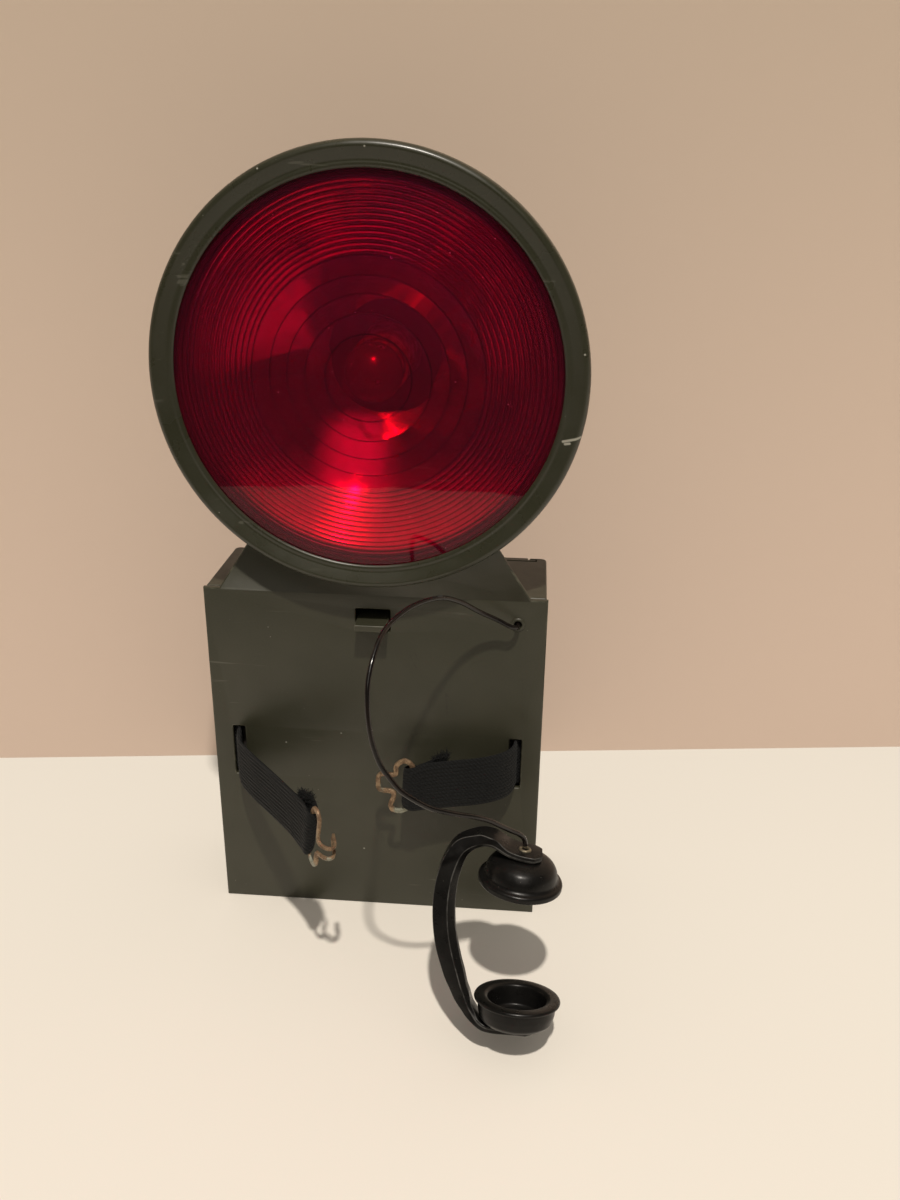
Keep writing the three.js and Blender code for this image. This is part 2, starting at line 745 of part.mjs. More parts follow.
function reflectorBowl() {
  const inner = reflectorProfile(0);
  const start = inner[0][1];
  const flangeEdge = [reflectorRadius + reflectorFlange, start];
  const flangeBack = [reflectorRadius + reflectorFlange, start + reflectorWall];
  return turnedAtHead([
    inner[0], flangeEdge, flangeBack, ...reflectorProfile(reflectorWall),
    ...inner.slice(1).reverse(), inner[0],
  ]);
}

// Bulb, holder and the strip behind it
function bulbGlass() {
  const mouth = bulbBaseFront - gap;
  const neck = bulbBaseRadius - bulbGlassWall;
  const middle = bulbGlassTip + bulbGlassRadius;
  const outer = [];
  const inner = [];
  const innerRadius = bulbGlassRadius - bulbGlassWall;
  for (let step = 0; step <= edgeSteps; step += 1) {
    const angle = (step / edgeSteps) * Math.PI / 2;
    outer.push([bulbGlassRadius * Math.sin(angle), middle - bulbGlassRadius * Math.cos(angle)]);
    inner.push([innerRadius * Math.sin(angle), middle - innerRadius * Math.cos(angle)]);
  }
  const profile = [...outer, [neck, mouth], [neck - bulbGlassWall, mouth], ...inner.reverse()];
  return turnedAtHead(profile, cupSides);
}

function bulbBase() {
  return turnedAtHead([
    [0, bulbBaseFront], [bulbBaseRadius, bulbBaseFront], [bulbBaseRadius, bulbBaseBack - bulbTipLength],
    [bulbTipRadius, bulbBaseBack], [0, bulbBaseBack],
  ], cupSides);
}

function bulbFilament() {
  const foot = bulbBaseFront - gap;
  const top = foot - filamentReach;
  const curve = curveThrough([
    [-filamentSpread, foot, headHeight], [-filamentSpread, top + filamentSpread, headHeight],
    [-filamentSpread / 2, top, headHeight], [filamentSpread / 2, top, headHeight],
    [filamentSpread, top + filamentSpread, headHeight], [filamentSpread, foot, headHeight],
  ]);
  return tubeAlong(curve, filamentRadius, fineWireSides, smallSides);
}

function bulbHolder() {
  const inner = bulbBaseRadius + gap;
  const outer = inner + holderWall;
  return turnedAtHead([
    [inner, bulbBaseBack - holderLength], [outer, bulbBaseBack - holderLength],
    [outer, bulbBaseBack], [inner, bulbBaseBack], [inner, bulbBaseBack - holderLength],
  ], cupSides);
}

function holderInsulator() {
  const bore = bulbBaseRadius + holderWall + 2 * gap;
  const from = insulatorFront;
  const to = from + insulatorThickness;
  return turnedAtHead([
    [bore, from], [insulatorRadius, from], [insulatorRadius, to], [bore, to], [bore, from],
  ], cupSides);
}

function holderContact() {
  return boxBetween(
    [-contactStripWidth / 2, stripFront, headHeight - contactStripLength / 2],
    [contactStripWidth / 2, stripBack, headHeight + contactStripLength / 2],
  );
}

// Morse key: a lever on a cross pin, with a bridge contact under it and two fixed contacts
function keyLever() {
  const blade = boxSolid(
    [windowOffset - keyWidth / 2, front - keyReach, keyTop - keyThickness],
    [windowOffset + keyWidth / 2, keyPivotY, keyTop],
  );
  const hub = solid(barAlongX(
    keyHubRadius, windowOffset - keyWidth / 2, windowOffset + keyWidth / 2, keyPivotY, keyPivotZ,
  ));
  const bore = solid(barAlongX(
    keyPinRadius + pinGap,
    windowOffset - keyWidth / 2 - overrun,
    windowOffset + keyWidth / 2 + overrun,
    keyPivotY,
    keyPivotZ,
  ));
  return blade.add(hub).subtract(bore);
}

function keyPin() {
  const end = windowOffset + bracketOuter;
  return barAlongX(keyPinRadius, windowOffset - bracketOuter, end, keyPivotY, keyPivotZ);
}

const bridgeTop = keyTop - keyThickness - gap;
const bridgeBottom = bridgeTop - bridgeThickness;
const fixedContactTop = bridgeBottom - bridgeContactGap;

function keyBridge() {
  return boxBetween(
    [windowOffset - keyWidth / 2 + gap, front + bridgePlace - bridgeDepth / 2, bridgeBottom],
    [windowOffset + keyWidth / 2 - gap, front + bridgePlace + bridgeDepth / 2, bridgeTop],
  );
}

function fixedContact(side) {
  const near = windowOffset + side * fixedContactSplit / 2;
  const far = windowOffset + side * fixedContactReach;
  return boxBetween(
    [Math.min(near, far), front + bridgePlace - bridgeDepth / 2, fixedContactTop - contactThickness],
    [Math.max(near, far), front + bridgePlace + bridgeDepth / 2, fixedContactTop],
  );
}

function keySpring() {
  const low = bracketFloorTop + gap + keySpringWire;
  const high = keyTop - keyThickness - gap - keySpringWire;
  const points = [];
  const steps = keySpringTurns * wireSides;
  for (let step = 0; step <= steps; step += 1) {
    const angle = (step / wireSides) * 2 * Math.PI;
    points.push([
      windowOffset + keySpringRadius * Math.cos(angle),
      front + keySpringPlace + keySpringRadius * Math.sin(angle),
      low + (high - low) * (step / steps),
    ]);
  }
  return tubeAlong(curveThrough(points), keySpringWire, fineWireSides, springSteps);
}

// Flat battery with its two bent terminal strips

function batteryCase() {
  const half = batteryWidth / 2;
  const shape = new THREE.Shape();
  const corners = [
    [half, batteryFront, -1], [half, batteryBack, 0], [-half, batteryBack, 1], [-half, batteryFront, 2],
  ];
  for (const [x, y, quarter] of corners) {
    const centreX = x - Math.sign(x) * batteryEdge;
    const centreY = y === batteryFront ? y + batteryEdge : y - batteryEdge;
    const from = quarter * Math.PI / 2;
    shape.absarc(centreX, centreY, batteryEdge, from, from + Math.PI / 2, false);
  }
  shape.closePath();
  const options = { depth: batteryHeight, bevelEnabled: false, curveSegments: edgeSteps };
  return new THREE.ExtrudeGeometry(shape, options).translate(0, 0, batteryBottom);
}

function batteryStrip(side, length) {
  const middle = (batteryFront + batteryBack) / 2;
  const foot = batteryTop + gap;
  const post = boxSolid(
    [side * stripPlace - contactThickness / 2, middle - stripWidth / 2, foot],
    [side * stripPlace + contactThickness / 2, middle + stripWidth / 2, foot + stripRise],
  );
  const near = side * stripPlace + side * contactThickness / 2;
  const far = side * (stripPlace - length);
  const leaf = boxSolid(
    [Math.min(near, far), middle - stripWidth / 2, foot + stripRise - contactThickness],
    [Math.max(near, far), middle + stripWidth / 2, foot + stripRise],
  );
  return post.add(leaf);
}

// How far back a falling profile of [radius, depth] lies at a radius
function depthOn(profile, radius) {
  for (let index = 1; index < profile.length; index += 1) {
    const [outerRadius, outerDepth] = profile[index - 1];
    const [innerRadius, innerDepth] = profile[index];
    if (radius >= innerRadius) {
      const share = (outerRadius - radius) / (outerRadius - innerRadius);
      return THREE.MathUtils.lerp(outerDepth, innerDepth, share);
    }
  }
  return profile[profile.length - 1][1];
}

// Each lead runs half way between the reflector and the shell
function leadPlaces(shares) {
  const bowl = reflectorProfile(reflectorWall);
  const shell = shellProfile(-shellWall);
  return shares.map(([across, out]) => {
    const radius = shellRadius * out;
    const middle = (depthOn(bowl, radius) + depthOn(shell, radius)) / 2;
    return [ductHalfWidth * across, middle, headHeight - radius];
  });
}

// The two leads from the key and the battery up through the duct to the back of the lamp
function lampLeadLive() {
  const startX = windowOffset + fixedContactReach - leadRadius;
  const startY = front + bridgePlace;
  const ductX = ductHalfWidth - 4 * leadRadius;
  const endY = stripFront - leadRadius - gap;
  return tubeAlong(curveThrough([
    [startX, startY, fixedContactTop + gap],
    [startX, startY, keyTop],
    [ductX, front + ductFront + 4 * leadRadius, ceiling],
    [ductX, front + ductFront + ductDepth / 2, headHeight - shellRadius],
    ...leadPlaces(liveLeadShares),
    [contactStripWidth / 4, endY, headHeight - contactStripLength / 2 + leadRadius],
  ]), leadRadius, wireSides, lampLeadSteps);
}

function lampLeadReturn() {
  const startX = stripPlace - shortStripLength + 2 * leadRadius;
  const startY = (batteryFront + batteryBack) / 2;
  const startZ = batteryTop + gap + stripRise + gap;
  const rim = bulbBaseRadius + gap + holderWall / 2;
  const endX = -contactStripWidth / 2 - leadRadius - 3 * gap;
  const ductY = front + ductFront + ductDepth - 5 * leadRadius;
  return tubeAlong(curveThrough([
    [startX, startY, startZ],
    [startX, startY, keyTop],
    [ductHalfWidth / 2, ductY, ceiling],
    [-ductHalfWidth / 3, ductY, headHeight - shellRadius],
    ...leadPlaces(returnLeadShares),
    [endX, stripFront - leadRadius - gap, headHeight - Math.sqrt(rim * rim - endX * endX)],
  ]), leadRadius, wireSides, lampLeadSteps);
}

// Straps: a thin outline in plan, raised to the webbing's width and let droop towards the clasp
function ribbonShape(points) {
  const curve = curveThrough(points.map(([x, y]) => [x, y, 0]));
  const steps = smallSides;
  const left = [];
  const right = [];
  for (let step = 0; step <= steps; step += 1) {
    const point = curve.getPointAt(step / steps);
    const tangent = curve.getTangentAt(step / steps);
    const side = new THREE.Vector2(-tangent.y, tangent.x).multiplyScalar(strapThickness / 2);
    left.push(new THREE.Vector2(point.x + side.x, point.y + side.y));
    right.push(new THREE.Vector2(point.x - side.x, point.y - side.y));
  }
  return new THREE.Shape([...left, ...right.reverse()]);
}

function strapRoute(side) {
  const across = side < 0 ? leftStrapAcross : rightStrapAcross;
  const out = side < 0 ? leftStrapOut : rightStrapOut;
  const shares = side < 0 ? leftStrapShares : rightStrapShares;
  return shares.map(([along, away]) => [
    side * (slotPlace - across * along),
    front - strapStandoff - (out - strapStandoff) * away,
  ]);
}

function strap(side) {
  const droop = side < 0 ? leftStrapDroop : rightStrapDroop;
  const across = side < 0 ? leftStrapAcross : rightStrapAcross;
  const options = { depth: strapWidth, bevelEnabled: false };
  const ribbon = new THREE.ExtrudeGeometry(ribbonShape(strapRoute(side)), options);
  const fall = new THREE.Matrix4().set(
    1, 0, 0, 0,
    0, 1, 0, 0,
    side * droop / across, 0, 1, slotMiddle - strapWidth / 2 - droop * slotPlace / across,
    0, 0, 0, 1,
  );
  return ribbon.applyMatrix4(fall);
}

function strapTail(side) {
  const points = tailShares.map(([along, away]) => [
    side * (slotPlace + tailRun * along),
    front + tailInset + tailDepth * away,
  ]);
  const options = { depth: strapWidth, bevelEnabled: false };
  const ribbon = new THREE.ExtrudeGeometry(ribbonShape(points), options);
  return ribbon.translate(0, 0, slotMiddle - strapWidth / 2);
}

function strapBar(side) {
  const bar = new THREE.CylinderGeometry(barRadius, barRadius, barLength, smallSides);
  return bar.rotateX(Math.PI / 2).translate(side * barX, barY, slotMiddle);
}

// Clasp: one bent wire whose two ends meet inside the strap's end
function claspWire(side) {
  const shares = side < 0 ? hookShares : eyeShares;
  const points = shares.map(([along, aside, up]) => [claspScale * along, claspScale * aside, claspHeight * up]);
  return tubeAlong(curveThrough(points), claspWireRadius, fineWireSides, claspSteps);
}

function placeClasp(mesh, side) {
  const route = strapRoute(side);
  const end = route[route.length - 1];
  const before = route[route.length - 2];
  const along = new THREE.Vector2(end[0] - before[0], end[1] - before[1]).normalize();
  const stand = gap + claspWireRadius;
  const droop = side < 0 ? leftStrapDroop : rightStrapDroop;
  const turn = side < 0 ? leftClaspTurnDegrees : rightClaspTurnDegrees;
  mesh.position.set(end[0] + along.x * stand, end[1] + along.y * stand, slotMiddle - droop);
  mesh.rotation.z = THREE.MathUtils.degToRad(turn);
}

// Handset
function leaningAxis(leanDegrees, tiltDegrees) {
  const lean = THREE.MathUtils.degToRad(leanDegrees);
  const tilt = THREE.MathUtils.degToRad(tiltDegrees);
  const upShare = Math.cos(lean);
  return new THREE.Vector3(Math.sin(tilt) * upShare, Math.sin(lean), Math.cos(tilt) * upShare);
}

const upright = new THREE.Vector3(0, 1, 0);
const earAxis = leaningAxis(earLeanDegrees, earTiltDegrees);
const mouthAxis = leaningAxis(mouthLeanDegrees, mouthTiltDegrees);
const earCentre = new THREE.Vector3(earAcross, front - earStandoff, earHeight);
const mouthCentre = new THREE.Vector3(mouthAcross, front - mouthStandoff, mouthHeight);
const earTongueRise = earRise + gap + tongueThickness / 2;
const mouthTongueDrop = mouthDepth + gap + tongueThickness / 2;
const earTongue = earCentre.clone().addScaledVector(earAxis, earTongueRise);
const mouthTongue = mouthCentre.clone().addScaledVector(mouthAxis, -mouthTongueDrop);

function placeOnAxis(mesh, centre, axis) {
  mesh.position.copy(centre);
  mesh.quaternion.setFromUnitVectors(upright, axis);
}

function earpiece() {
  const innerRadius = earBodyRadius - earWall;
  const shoulder = earRise * 0.7;
  const bore = eyeletTubeRadius + gap;
  return turned([
    [innerRadius, 0], [cupRimRadius, 0], [cupRimRadius, cupRimThickness],
    [earBodyRadius, cupRimThickness + earWall], [earBodyRadius - earWall / 3, shoulder],
    [(earBodyRadius + earCrownRadius) / 2, earRise - earWall / 3], [earCrownRadius, earRise],
    [bore, earRise], [bore, earRise - earWall], [earCrownRadius - earWall / 2, earRise - earWall],
    [innerRadius - earWall, shoulder - earWall / 2], [innerRadius, 0],
  ], cupSides);
}

function mouthpiece() {
  const floorTop = -mouthDepth + mouthFloorThickness;
  return turned([
    [0, -mouthDepth], [mouthFloorRadius, -mouthDepth],
    [mouthBodyRadius, -mouthDepth + 1.6 * mouthFloorThickness], [mouthBodyRadius, -cupRimThickness],
    [cupRimRadius, -cupRimThickness], [cupRimRadius, -cupRimThickness / 4],
    [cupRimRadius - cupRimThickness, 0], [mouthOpeningRadius, -cupRimThickness / 4],
    [mouthOpeningRadius, floorTop], [0, floorTop],
  ], cupSides);
}

function handleSection(centre, tangent, widthDirection, thickness, width) {
  const along = tangent.clone().normalize();
  const across = widthDirection.clone().addScaledVector(along, -widthDirection.dot(along)).normalize();
  const out = new THREE.Vector3().crossVectors(across, along);
  const x = thickness / 2;
  const y = width / 2;
  const corners = [
    [x, y - handleEdge], [x - handleEdge, y], [-x + handleEdge, y], [-x, y - handleEdge],
    [-x, -y + handleEdge], [-x + handleEdge, -y], [x - handleEdge, -y], [x, -y + handleEdge],
  ];
  return corners.map(([u, v]) => centre.clone().addScaledVector(out, u).addScaledVector(across, v));
}

function handsetHandle() {
  const chord = mouthTongue.clone().sub(earTongue);
  const chordUnit = chord.clone().normalize();
  const left = new THREE.Vector3(-1, 0, 0).addScaledVector(chordUnit, chordUnit.x).normalize();
  const onCup = (centre, axis, distance) => {
    const level = new THREE.Vector3(1, 0, 0).addScaledVector(axis, -axis.x).normalize();
    return centre.clone().addScaledVector(level, distance);
  };
  const stations = [
    [onCup(earTongue, earAxis, tongueOverhang), 0, 1],
    [earTongue, 0, 1],
    ...handleStationShares.map(([along, out, thick, wide]) => [
      earTongue.clone().addScaledVector(chord, along).addScaledVector(left, handleReach * out), thick, wide,
    ]),
    [mouthTongue, 0, 1],
    [onCup(mouthTongue, mouthAxis, tongueOverhang), 0, 1],
  ];
  const earWidth = new THREE.Vector3().crossVectors(earAxis, left).normalize();
  const mouthWidth = new THREE.Vector3().crossVectors(mouthAxis, left).normalize();
  const rings = stations.map(([centre, thick, wide], index) => {
    const previous = stations[Math.max(index - 1, 0)][0];
    const next = stations[Math.min(index + 1, stations.length - 1)][0];
    const share = index / (stations.length - 1);
    const blend = THREE.MathUtils.smoothstep(share, 0.2, 0.8);
    const widthDirection = earWidth.clone().lerp(mouthWidth, blend).normalize();
    const thickness = THREE.MathUtils.lerp(tongueThickness, gripThickness, thick);
    const width = THREE.MathUtils.lerp(gripWidth, tongueWidth, wide);
    return handleSection(centre, next.clone().sub(previous), widthDirection, thickness, width);
  });
  return solid(lofted(rings)).subtract(eyeletHole());
}

function eyeletHole() {
  const radius = eyeletTubeRadius + gap;
  const hole = turned([
    [0, earRise - overrun], [radius, earRise - overrun],
    [radius, earRise + tongueThickness + gap + overrun], [0, earRise + tongueThickness + gap + overrun],
  ], smallSides);
  const place = new THREE.Matrix4().compose(
    earCentre,
    new THREE.Quaternion().setFromUnitVectors(upright, earAxis),
    new THREE.Vector3(1, 1, 1),
  );
  return solid(hole.applyMatrix4(place));
}

function earEyelet() {
  const seat = earRise + 2 * gap + tongueThickness;
  const top = seat + eyeletFlange;
  return turned([
    [eyeletBore, top - eyeletLength], [eyeletTubeRadius, top - eyeletLength], [eyeletTubeRadius, seat],
    [eyeletRadius, seat], [eyeletRadius, top], [eyeletBore, top], [eyeletBore, top - eyeletLength],
  ], smallSides);
}

function mouthRivet() {
  const seat = -(mouthDepth + 2 * gap + tongueThickness);
  return turned([
    [0, seat - rivetHeadHeight], [eyeletRadius / 2, seat - rivetHeadHeight],
    [eyeletRadius, seat - rivetHeadHeight / 2], [eyeletRadius, seat], [0, seat],
  ], smallSides);
}

function handsetLead() {
  return tubeAlong(curveThrough(leadRoute), handsetLeadRadius, wireSides, handsetLeadSteps);
}

// The lead's stub through its hole, and the knot that holds it behind the plate
function leadKnot() {
  const from = plateBack + gap;
  const to = from + leadKnotLength;
  const middle = (from + to) / 2;
  return turned([
    [0, front - leadStubRise], [handsetLeadRadius, front - leadStubRise], [handsetLeadRadius, from],
    [leadKnotRadius, middle], [leadKnotRadius / 2, to], [0, to],
  ], smallSides).translate(leadHolePlace, 0, leadHoleHeight);
}

// Case
addPart('front_plate', geometryOf(frontPlate()), materials.olive);
addPart('rear_housing', geometryOf(rearHousing()), materials.olive);
addPart('battery_door', geometryOf(batteryDoor()), materials.olive);
addPart('housing_screw_left', geometryOf(housingScrew(-1)), materials.steel);
addPart('housing_screw_right', geometryOf(housingScrew(1)), materials.steel);

// Lamp head
addPart('bezel_ring', bezelRing(), materials.bezel);
addPart('red_lens', redLens(), materials.red);
addPart('head_shell', geometryOf(headShell()), materials.olive);
addPart('reflector', reflectorBowl(), materials.mirror);
addPart('bulb_glass', bulbGlass(), materials.glass);
addPart('bulb_filament', bulbFilament(), materials.steel);
addPart('bulb_base', bulbBase(), materials.brass);
const bulbTip = barAlongY(bulbTipRadius, bulbTipFront, bulbTipBack, 0, headHeight);
addPart('bulb_tip_contact', bulbTip, materials.steel);
addPart('bulb_holder', bulbHolder(), materials.brass);
addPart('holder_insulator', holderInsulator(), materials.insulator);
addPart('holder_contact', holderContact(), materials.brass);

// Key and contacts
addPart('key_lever', geometryOf(keyLever()), materials.olive);
addPart('key_pin', keyPin(), materials.steel);
addPart('key_bridge', keyBridge(), materials.brass);
addPart('key_spring', keySpring(), materials.steel);
addPart('contact_battery_side', fixedContact(-1), materials.brass);
addPart('contact_lamp_side', fixedContact(1), materials.brass);

// Battery and leads
addPart('battery_case', batteryCase(), materials.card);
addPart('battery_strip_long', geometryOf(batteryStrip(-1, longStripLength)), materials.brass);
addPart('battery_strip_short', geometryOf(batteryStrip(1, shortStripLength)), materials.brass);
addPart('lamp_lead_live', lampLeadLive(), materials.wire);
addPart('lamp_lead_return', lampLeadReturn(), materials.wire);

// Straps
for (const [name, side] of [['left', -1], ['right', 1]]) {
  addPart(`strap_${name}`, strap(side), materials.elastic);
  addPart(`strap_tail_${name}`, strapTail(side), materials.elastic);
  addPart(`strap_bar_${name}`, strapBar(side), materials.steel);
  placeClasp(addPart(`strap_clasp_${name}`, claspWire(side), materials.brass), side);
}

// Handset and its lead
addPart('handset_handle', geometryOf(handsetHandle()), materials.black);
placeOnAxis(addPart('earpiece', earpiece(), materials.black), earCentre, earAxis);
placeOnAxis(addPart('mouthpiece', mouthpiece(), materials.black), mouthCentre, mouthAxis);
placeOnAxis(addPart('ear_eyelet', earEyelet(), materials.brass), earCentre, earAxis);
placeOnAxis(addPart('mouth_rivet', mouthRivet(), materials.black), mouthCentre, mouthAxis);
addPart('handset_lead', handsetLead(), materials.wire);
addPart('lead_knot', leadKnot(), materials.wire);

export default model;
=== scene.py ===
import math
import random

import bmesh
import bpy
from mathutils import Matrix, Vector
from mathutils.geometry import tessellate_polygon


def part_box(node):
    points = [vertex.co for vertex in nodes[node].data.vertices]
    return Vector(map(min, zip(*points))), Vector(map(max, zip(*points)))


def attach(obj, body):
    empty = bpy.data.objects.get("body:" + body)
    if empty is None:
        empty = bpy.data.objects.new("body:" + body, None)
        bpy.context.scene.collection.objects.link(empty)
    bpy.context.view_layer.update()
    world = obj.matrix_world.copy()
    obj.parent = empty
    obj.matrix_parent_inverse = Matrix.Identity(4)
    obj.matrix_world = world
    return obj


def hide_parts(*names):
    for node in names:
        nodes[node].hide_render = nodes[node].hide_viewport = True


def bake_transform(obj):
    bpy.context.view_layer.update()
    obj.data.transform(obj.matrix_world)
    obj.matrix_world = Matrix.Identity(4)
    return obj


# A small signal lamp with a red ringed lens, elastic straps and a toy handset on a stiff lead.
# Metres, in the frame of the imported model. Sizes and tables that aren't multiplied by MM are in millimetres.
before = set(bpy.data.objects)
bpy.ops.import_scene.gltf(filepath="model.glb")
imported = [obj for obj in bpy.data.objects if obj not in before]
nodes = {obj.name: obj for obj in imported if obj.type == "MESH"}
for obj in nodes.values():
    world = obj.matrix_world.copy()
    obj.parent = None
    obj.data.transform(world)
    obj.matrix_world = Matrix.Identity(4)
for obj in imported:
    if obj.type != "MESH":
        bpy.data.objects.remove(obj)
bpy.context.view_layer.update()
MM = 0.001


def mm(*values):
    return Vector([value * MM for value in values])


# Places read from the frame
plate_low, plate_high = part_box("front_plate")
bezel_low, bezel_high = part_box("bezel_ring")
lens_low, lens_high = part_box("red_lens")
shell_low, shell_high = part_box("head_shell")
bowl_low, bowl_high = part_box("reflector")
FRONT = plate_low.y
FRONT_MM = FRONT / MM
PLATE_BACK = FRONT + 1.2 * MM
HEAD_Z = (bezel_low.z + bezel_high.z) / 2
BEZEL_RADIUS = (bezel_high.x - bezel_low.x) / 2
HEAD_CENTRE = Vector((0, 0, HEAD_Z))
LENS_FACE = lens_low.y
OPENING = BEZEL_RADIUS - 4.6 * MM
UP = Vector((0, 0, 1))
SIDEWAYS = Vector((1, 0, 0))
INTO = Vector((0, 1, 0))

# Camera at the photograph's angle
CAMERA_PLACE = mm(30.02, -207.32, 156.81)
CAMERA_YAW = math.radians(-4.29)
CAMERA_PITCH = math.radians(22.54)
CAMERA_ROLL = math.radians(0.77)
CAMERA_LENS = 31.757


def middle_of(node):
    low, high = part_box(node)
    return (low + high) / 2


def make_camera():
    data = bpy.data.cameras.new("photo_camera")
    camera = new_object("photo_camera", data)
    ahead = Vector((
        math.sin(CAMERA_YAW) * math.cos(CAMERA_PITCH),
        math.cos(CAMERA_YAW) * math.cos(CAMERA_PITCH),
        -math.sin(CAMERA_PITCH),
    ))
    level = Vector((math.cos(CAMERA_YAW), -math.sin(CAMERA_YAW), 0))
    up = level.cross(ahead)
    right = level * math.cos(CAMERA_ROLL) + up * math.sin(CAMERA_ROLL)
    top = up * math.cos(CAMERA_ROLL) - level * math.sin(CAMERA_ROLL)
    turn = Matrix((right, top, -ahead)).transposed()
    camera.matrix_world = Matrix.Translation(CAMERA_PLACE) @ turn.to_4x4()
    data.lens = CAMERA_LENS
    data.sensor_width = 36
    data.sensor_fit = "AUTO"
    data.clip_start = 0.01
    data.clip_end = 20
    bpy.context.scene.camera = camera


# Curves and meshes
def lengths_along(points):
    lengths = [0]
    for a, b in zip(points, points[1:]):
        lengths.append(lengths[-1] + (b - a).length)
    return lengths


def direction_at(points, index):
    return (points[min(index + 1, len(points) - 1)] - points[max(index - 1, 0)]).normalized()


def between(a, b, low, high, t):
    return a * ((high - t) / (high - low)) + b * ((t - low) / (high - low))


def spline_points(points, count, fine_steps=16):
    """Evenly spaced points on a centripetal curve through the given ones."""
    places = [Vector(point) for point in points]
    padded = [places[0] * 2 - places[1]] + places + [places[-1] * 2 - places[-2]]
    fine = []
    for index in range(len(places) - 1):
        quad = padded[index:index + 4]
        knots = [0]
        for a, b in zip(quad, quad[1:]):
            knots.append(knots[-1] + max((b - a).length, 1e-9) ** 0.5)
        for step in range(fine_steps):
            t = between(knots[1], knots[2], 0, fine_steps, step)
            near = [between(quad[k], quad[k + 1], knots[k], knots[k + 1], t) for k in range(3)]
            wide = [between(near[k], near[k + 1], knots[k], knots[k + 2], t) for k in range(2)]
            fine.append(between(*wide, knots[1], knots[2], t))
    fine.append(places[-1])
    lengths = lengths_along(fine)
    even = []
    place = 0
    for step in range(count):
        target = lengths[-1] * step / (count - 1)
        while place < len(lengths) - 2 and lengths[place + 1] < target:
            place += 1
        share = (target - lengths[place]) / max(lengths[place + 1] - lengths[place], 1e-12)
        even.append(fine[place].lerp(fine[place + 1], min(share, 1)))
    return even


def rounded(profile, radius, steps=4, closed=False):
    """The same outline with its corners rounded, radius in millimetres."""
    points = [Vector(point) for point in profile]
    count = len(points)
    out = []
    for index, point in enumerate(points):
        if not closed and index in (0, count - 1):
            out.append(point.copy())
            continue
        before = points[index - 1] - point
        after = points[(index + 1) % count] - point
        reach = min(radius * MM, before.length * 0.45, after.length * 0.45)
        start = point + before.normalized() * reach
        end = point + after.normalized() * reach
        for step in range(steps + 1):
            t = step / steps
            out.append(start * (1 - t) ** 2 + point * (2 * t * (1 - t)) + end * t ** 2)
    return out


def mm_profile(points, radius, steps=4, closed=False):
    """A rounded outline from pairs in millimetres."""
    return rounded([Vector(point) * MM for point in points], radius, steps, closed)


def new_object(name, data):
    made = bpy.data.objects.new(name, data)
    bpy.context.scene.collection.objects.link(made)
    return made


def mesh_of(name, bm, sharp_degrees=None):
    """The finished mesh, smooth between its sharp edges where an angle is given."""
    mesh = bpy.data.meshes.new(name)
    bm.to_mesh(mesh)
    bm.free()
    if sharp_degrees is not None:
        mesh.shade_smooth()
        mesh.set_sharp_from_angle(angle=math.radians(sharp_degrees))
    return mesh


def finish_mesh(name, bm, sharp_degrees):
    bmesh.ops.recalc_face_normals(bm, faces=bm.faces)
    return new_object(name, mesh_of(name, bm, sharp_degrees))


def side_axes(axis):
    hint = UP if abs(axis.z) < 0.9 else SIDEWAYS
    across = hint.cross(axis).normalized()
    return across, axis.cross(across).normalized()


def ring_of(bm, centre, across, other, radius, sides):
    ring = []
    for side in range(sides):
        angle = 2 * math.pi * side / sides
        out = across * math.cos(angle) + other * math.sin(angle)
        ring.append(bm.verts.new(centre + out * radius))
    return ring


def lathe(name, profile, origin=HEAD_CENTRE, axis=INTO, sides=128, closed=False, sharp=35):
    """A profile of (radius, height) in metres turned about an axis through origin."""
    across, other = side_axes(axis)
    bm = bmesh.new()
    rings = []
    for radius, height in profile:
        centre = origin + axis * height
        if radius < 1e-7:
            rings.append([bm.verts.new(centre)] * sides)
        else:
            rings.append(ring_of(bm, centre, across, other, radius, sides))
    pairs = list(zip(rings, rings[1:]))
    if closed:
        pairs.append((rings[-1], rings[0]))
    for low, high in pairs:
        for side in range(sides):
            after = (side + 1) % sides
            corners = []
            for corner in (low[side], low[after], high[after], high[side]):
                if corner not in corners:
                    corners.append(corner)
            if len(corners) > 2:
                bm.faces.new(corners)
    return finish_mesh(name, bm, sharp)


def skin_over(bm, rings):
    """Faces between closed rings of vertices, with flat ends; each side face comes with its first corner."""
    made = []
    count = len(rings[0])
    for low, high in zip(rings, rings[1:]):
        for corner in range(count):
            after = (corner + 1) % count
            made.append((bm.faces.new((low[corner], low[after], high[after], high[corner])), corner))
    bm.faces.new(list(reversed(rings[0])))
    bm.faces.new(rings[-1])
    return made


def loft(name, rings, sharp, arc=0):
    """Closed rings of points joined into one skin; arc is the number of points in each marked corner, which is
    worn and carries a painted highlight.
    """
    bm = bmesh.new()
    layer = bm.loops.layers.float.new("edge")
    made = [[bm.verts.new(point) for point in ring] for ring in rings]
    for face, corner in skin_over(bm, made):
        if arc and corner % arc < arc - 1:
            for loop in face.loops:
                loop[layer] = 1
    return finish_mesh(name, bm, sharp)


STRIP_WIDTH = 1.05 * MM
STRIP_THICKNESS = 0.62 * MM
STRIP_UNEVEN = 0.09
STRIP_BAR_WIDTH = 0.45
STRIP_BAR_THICKNESS = 0.85


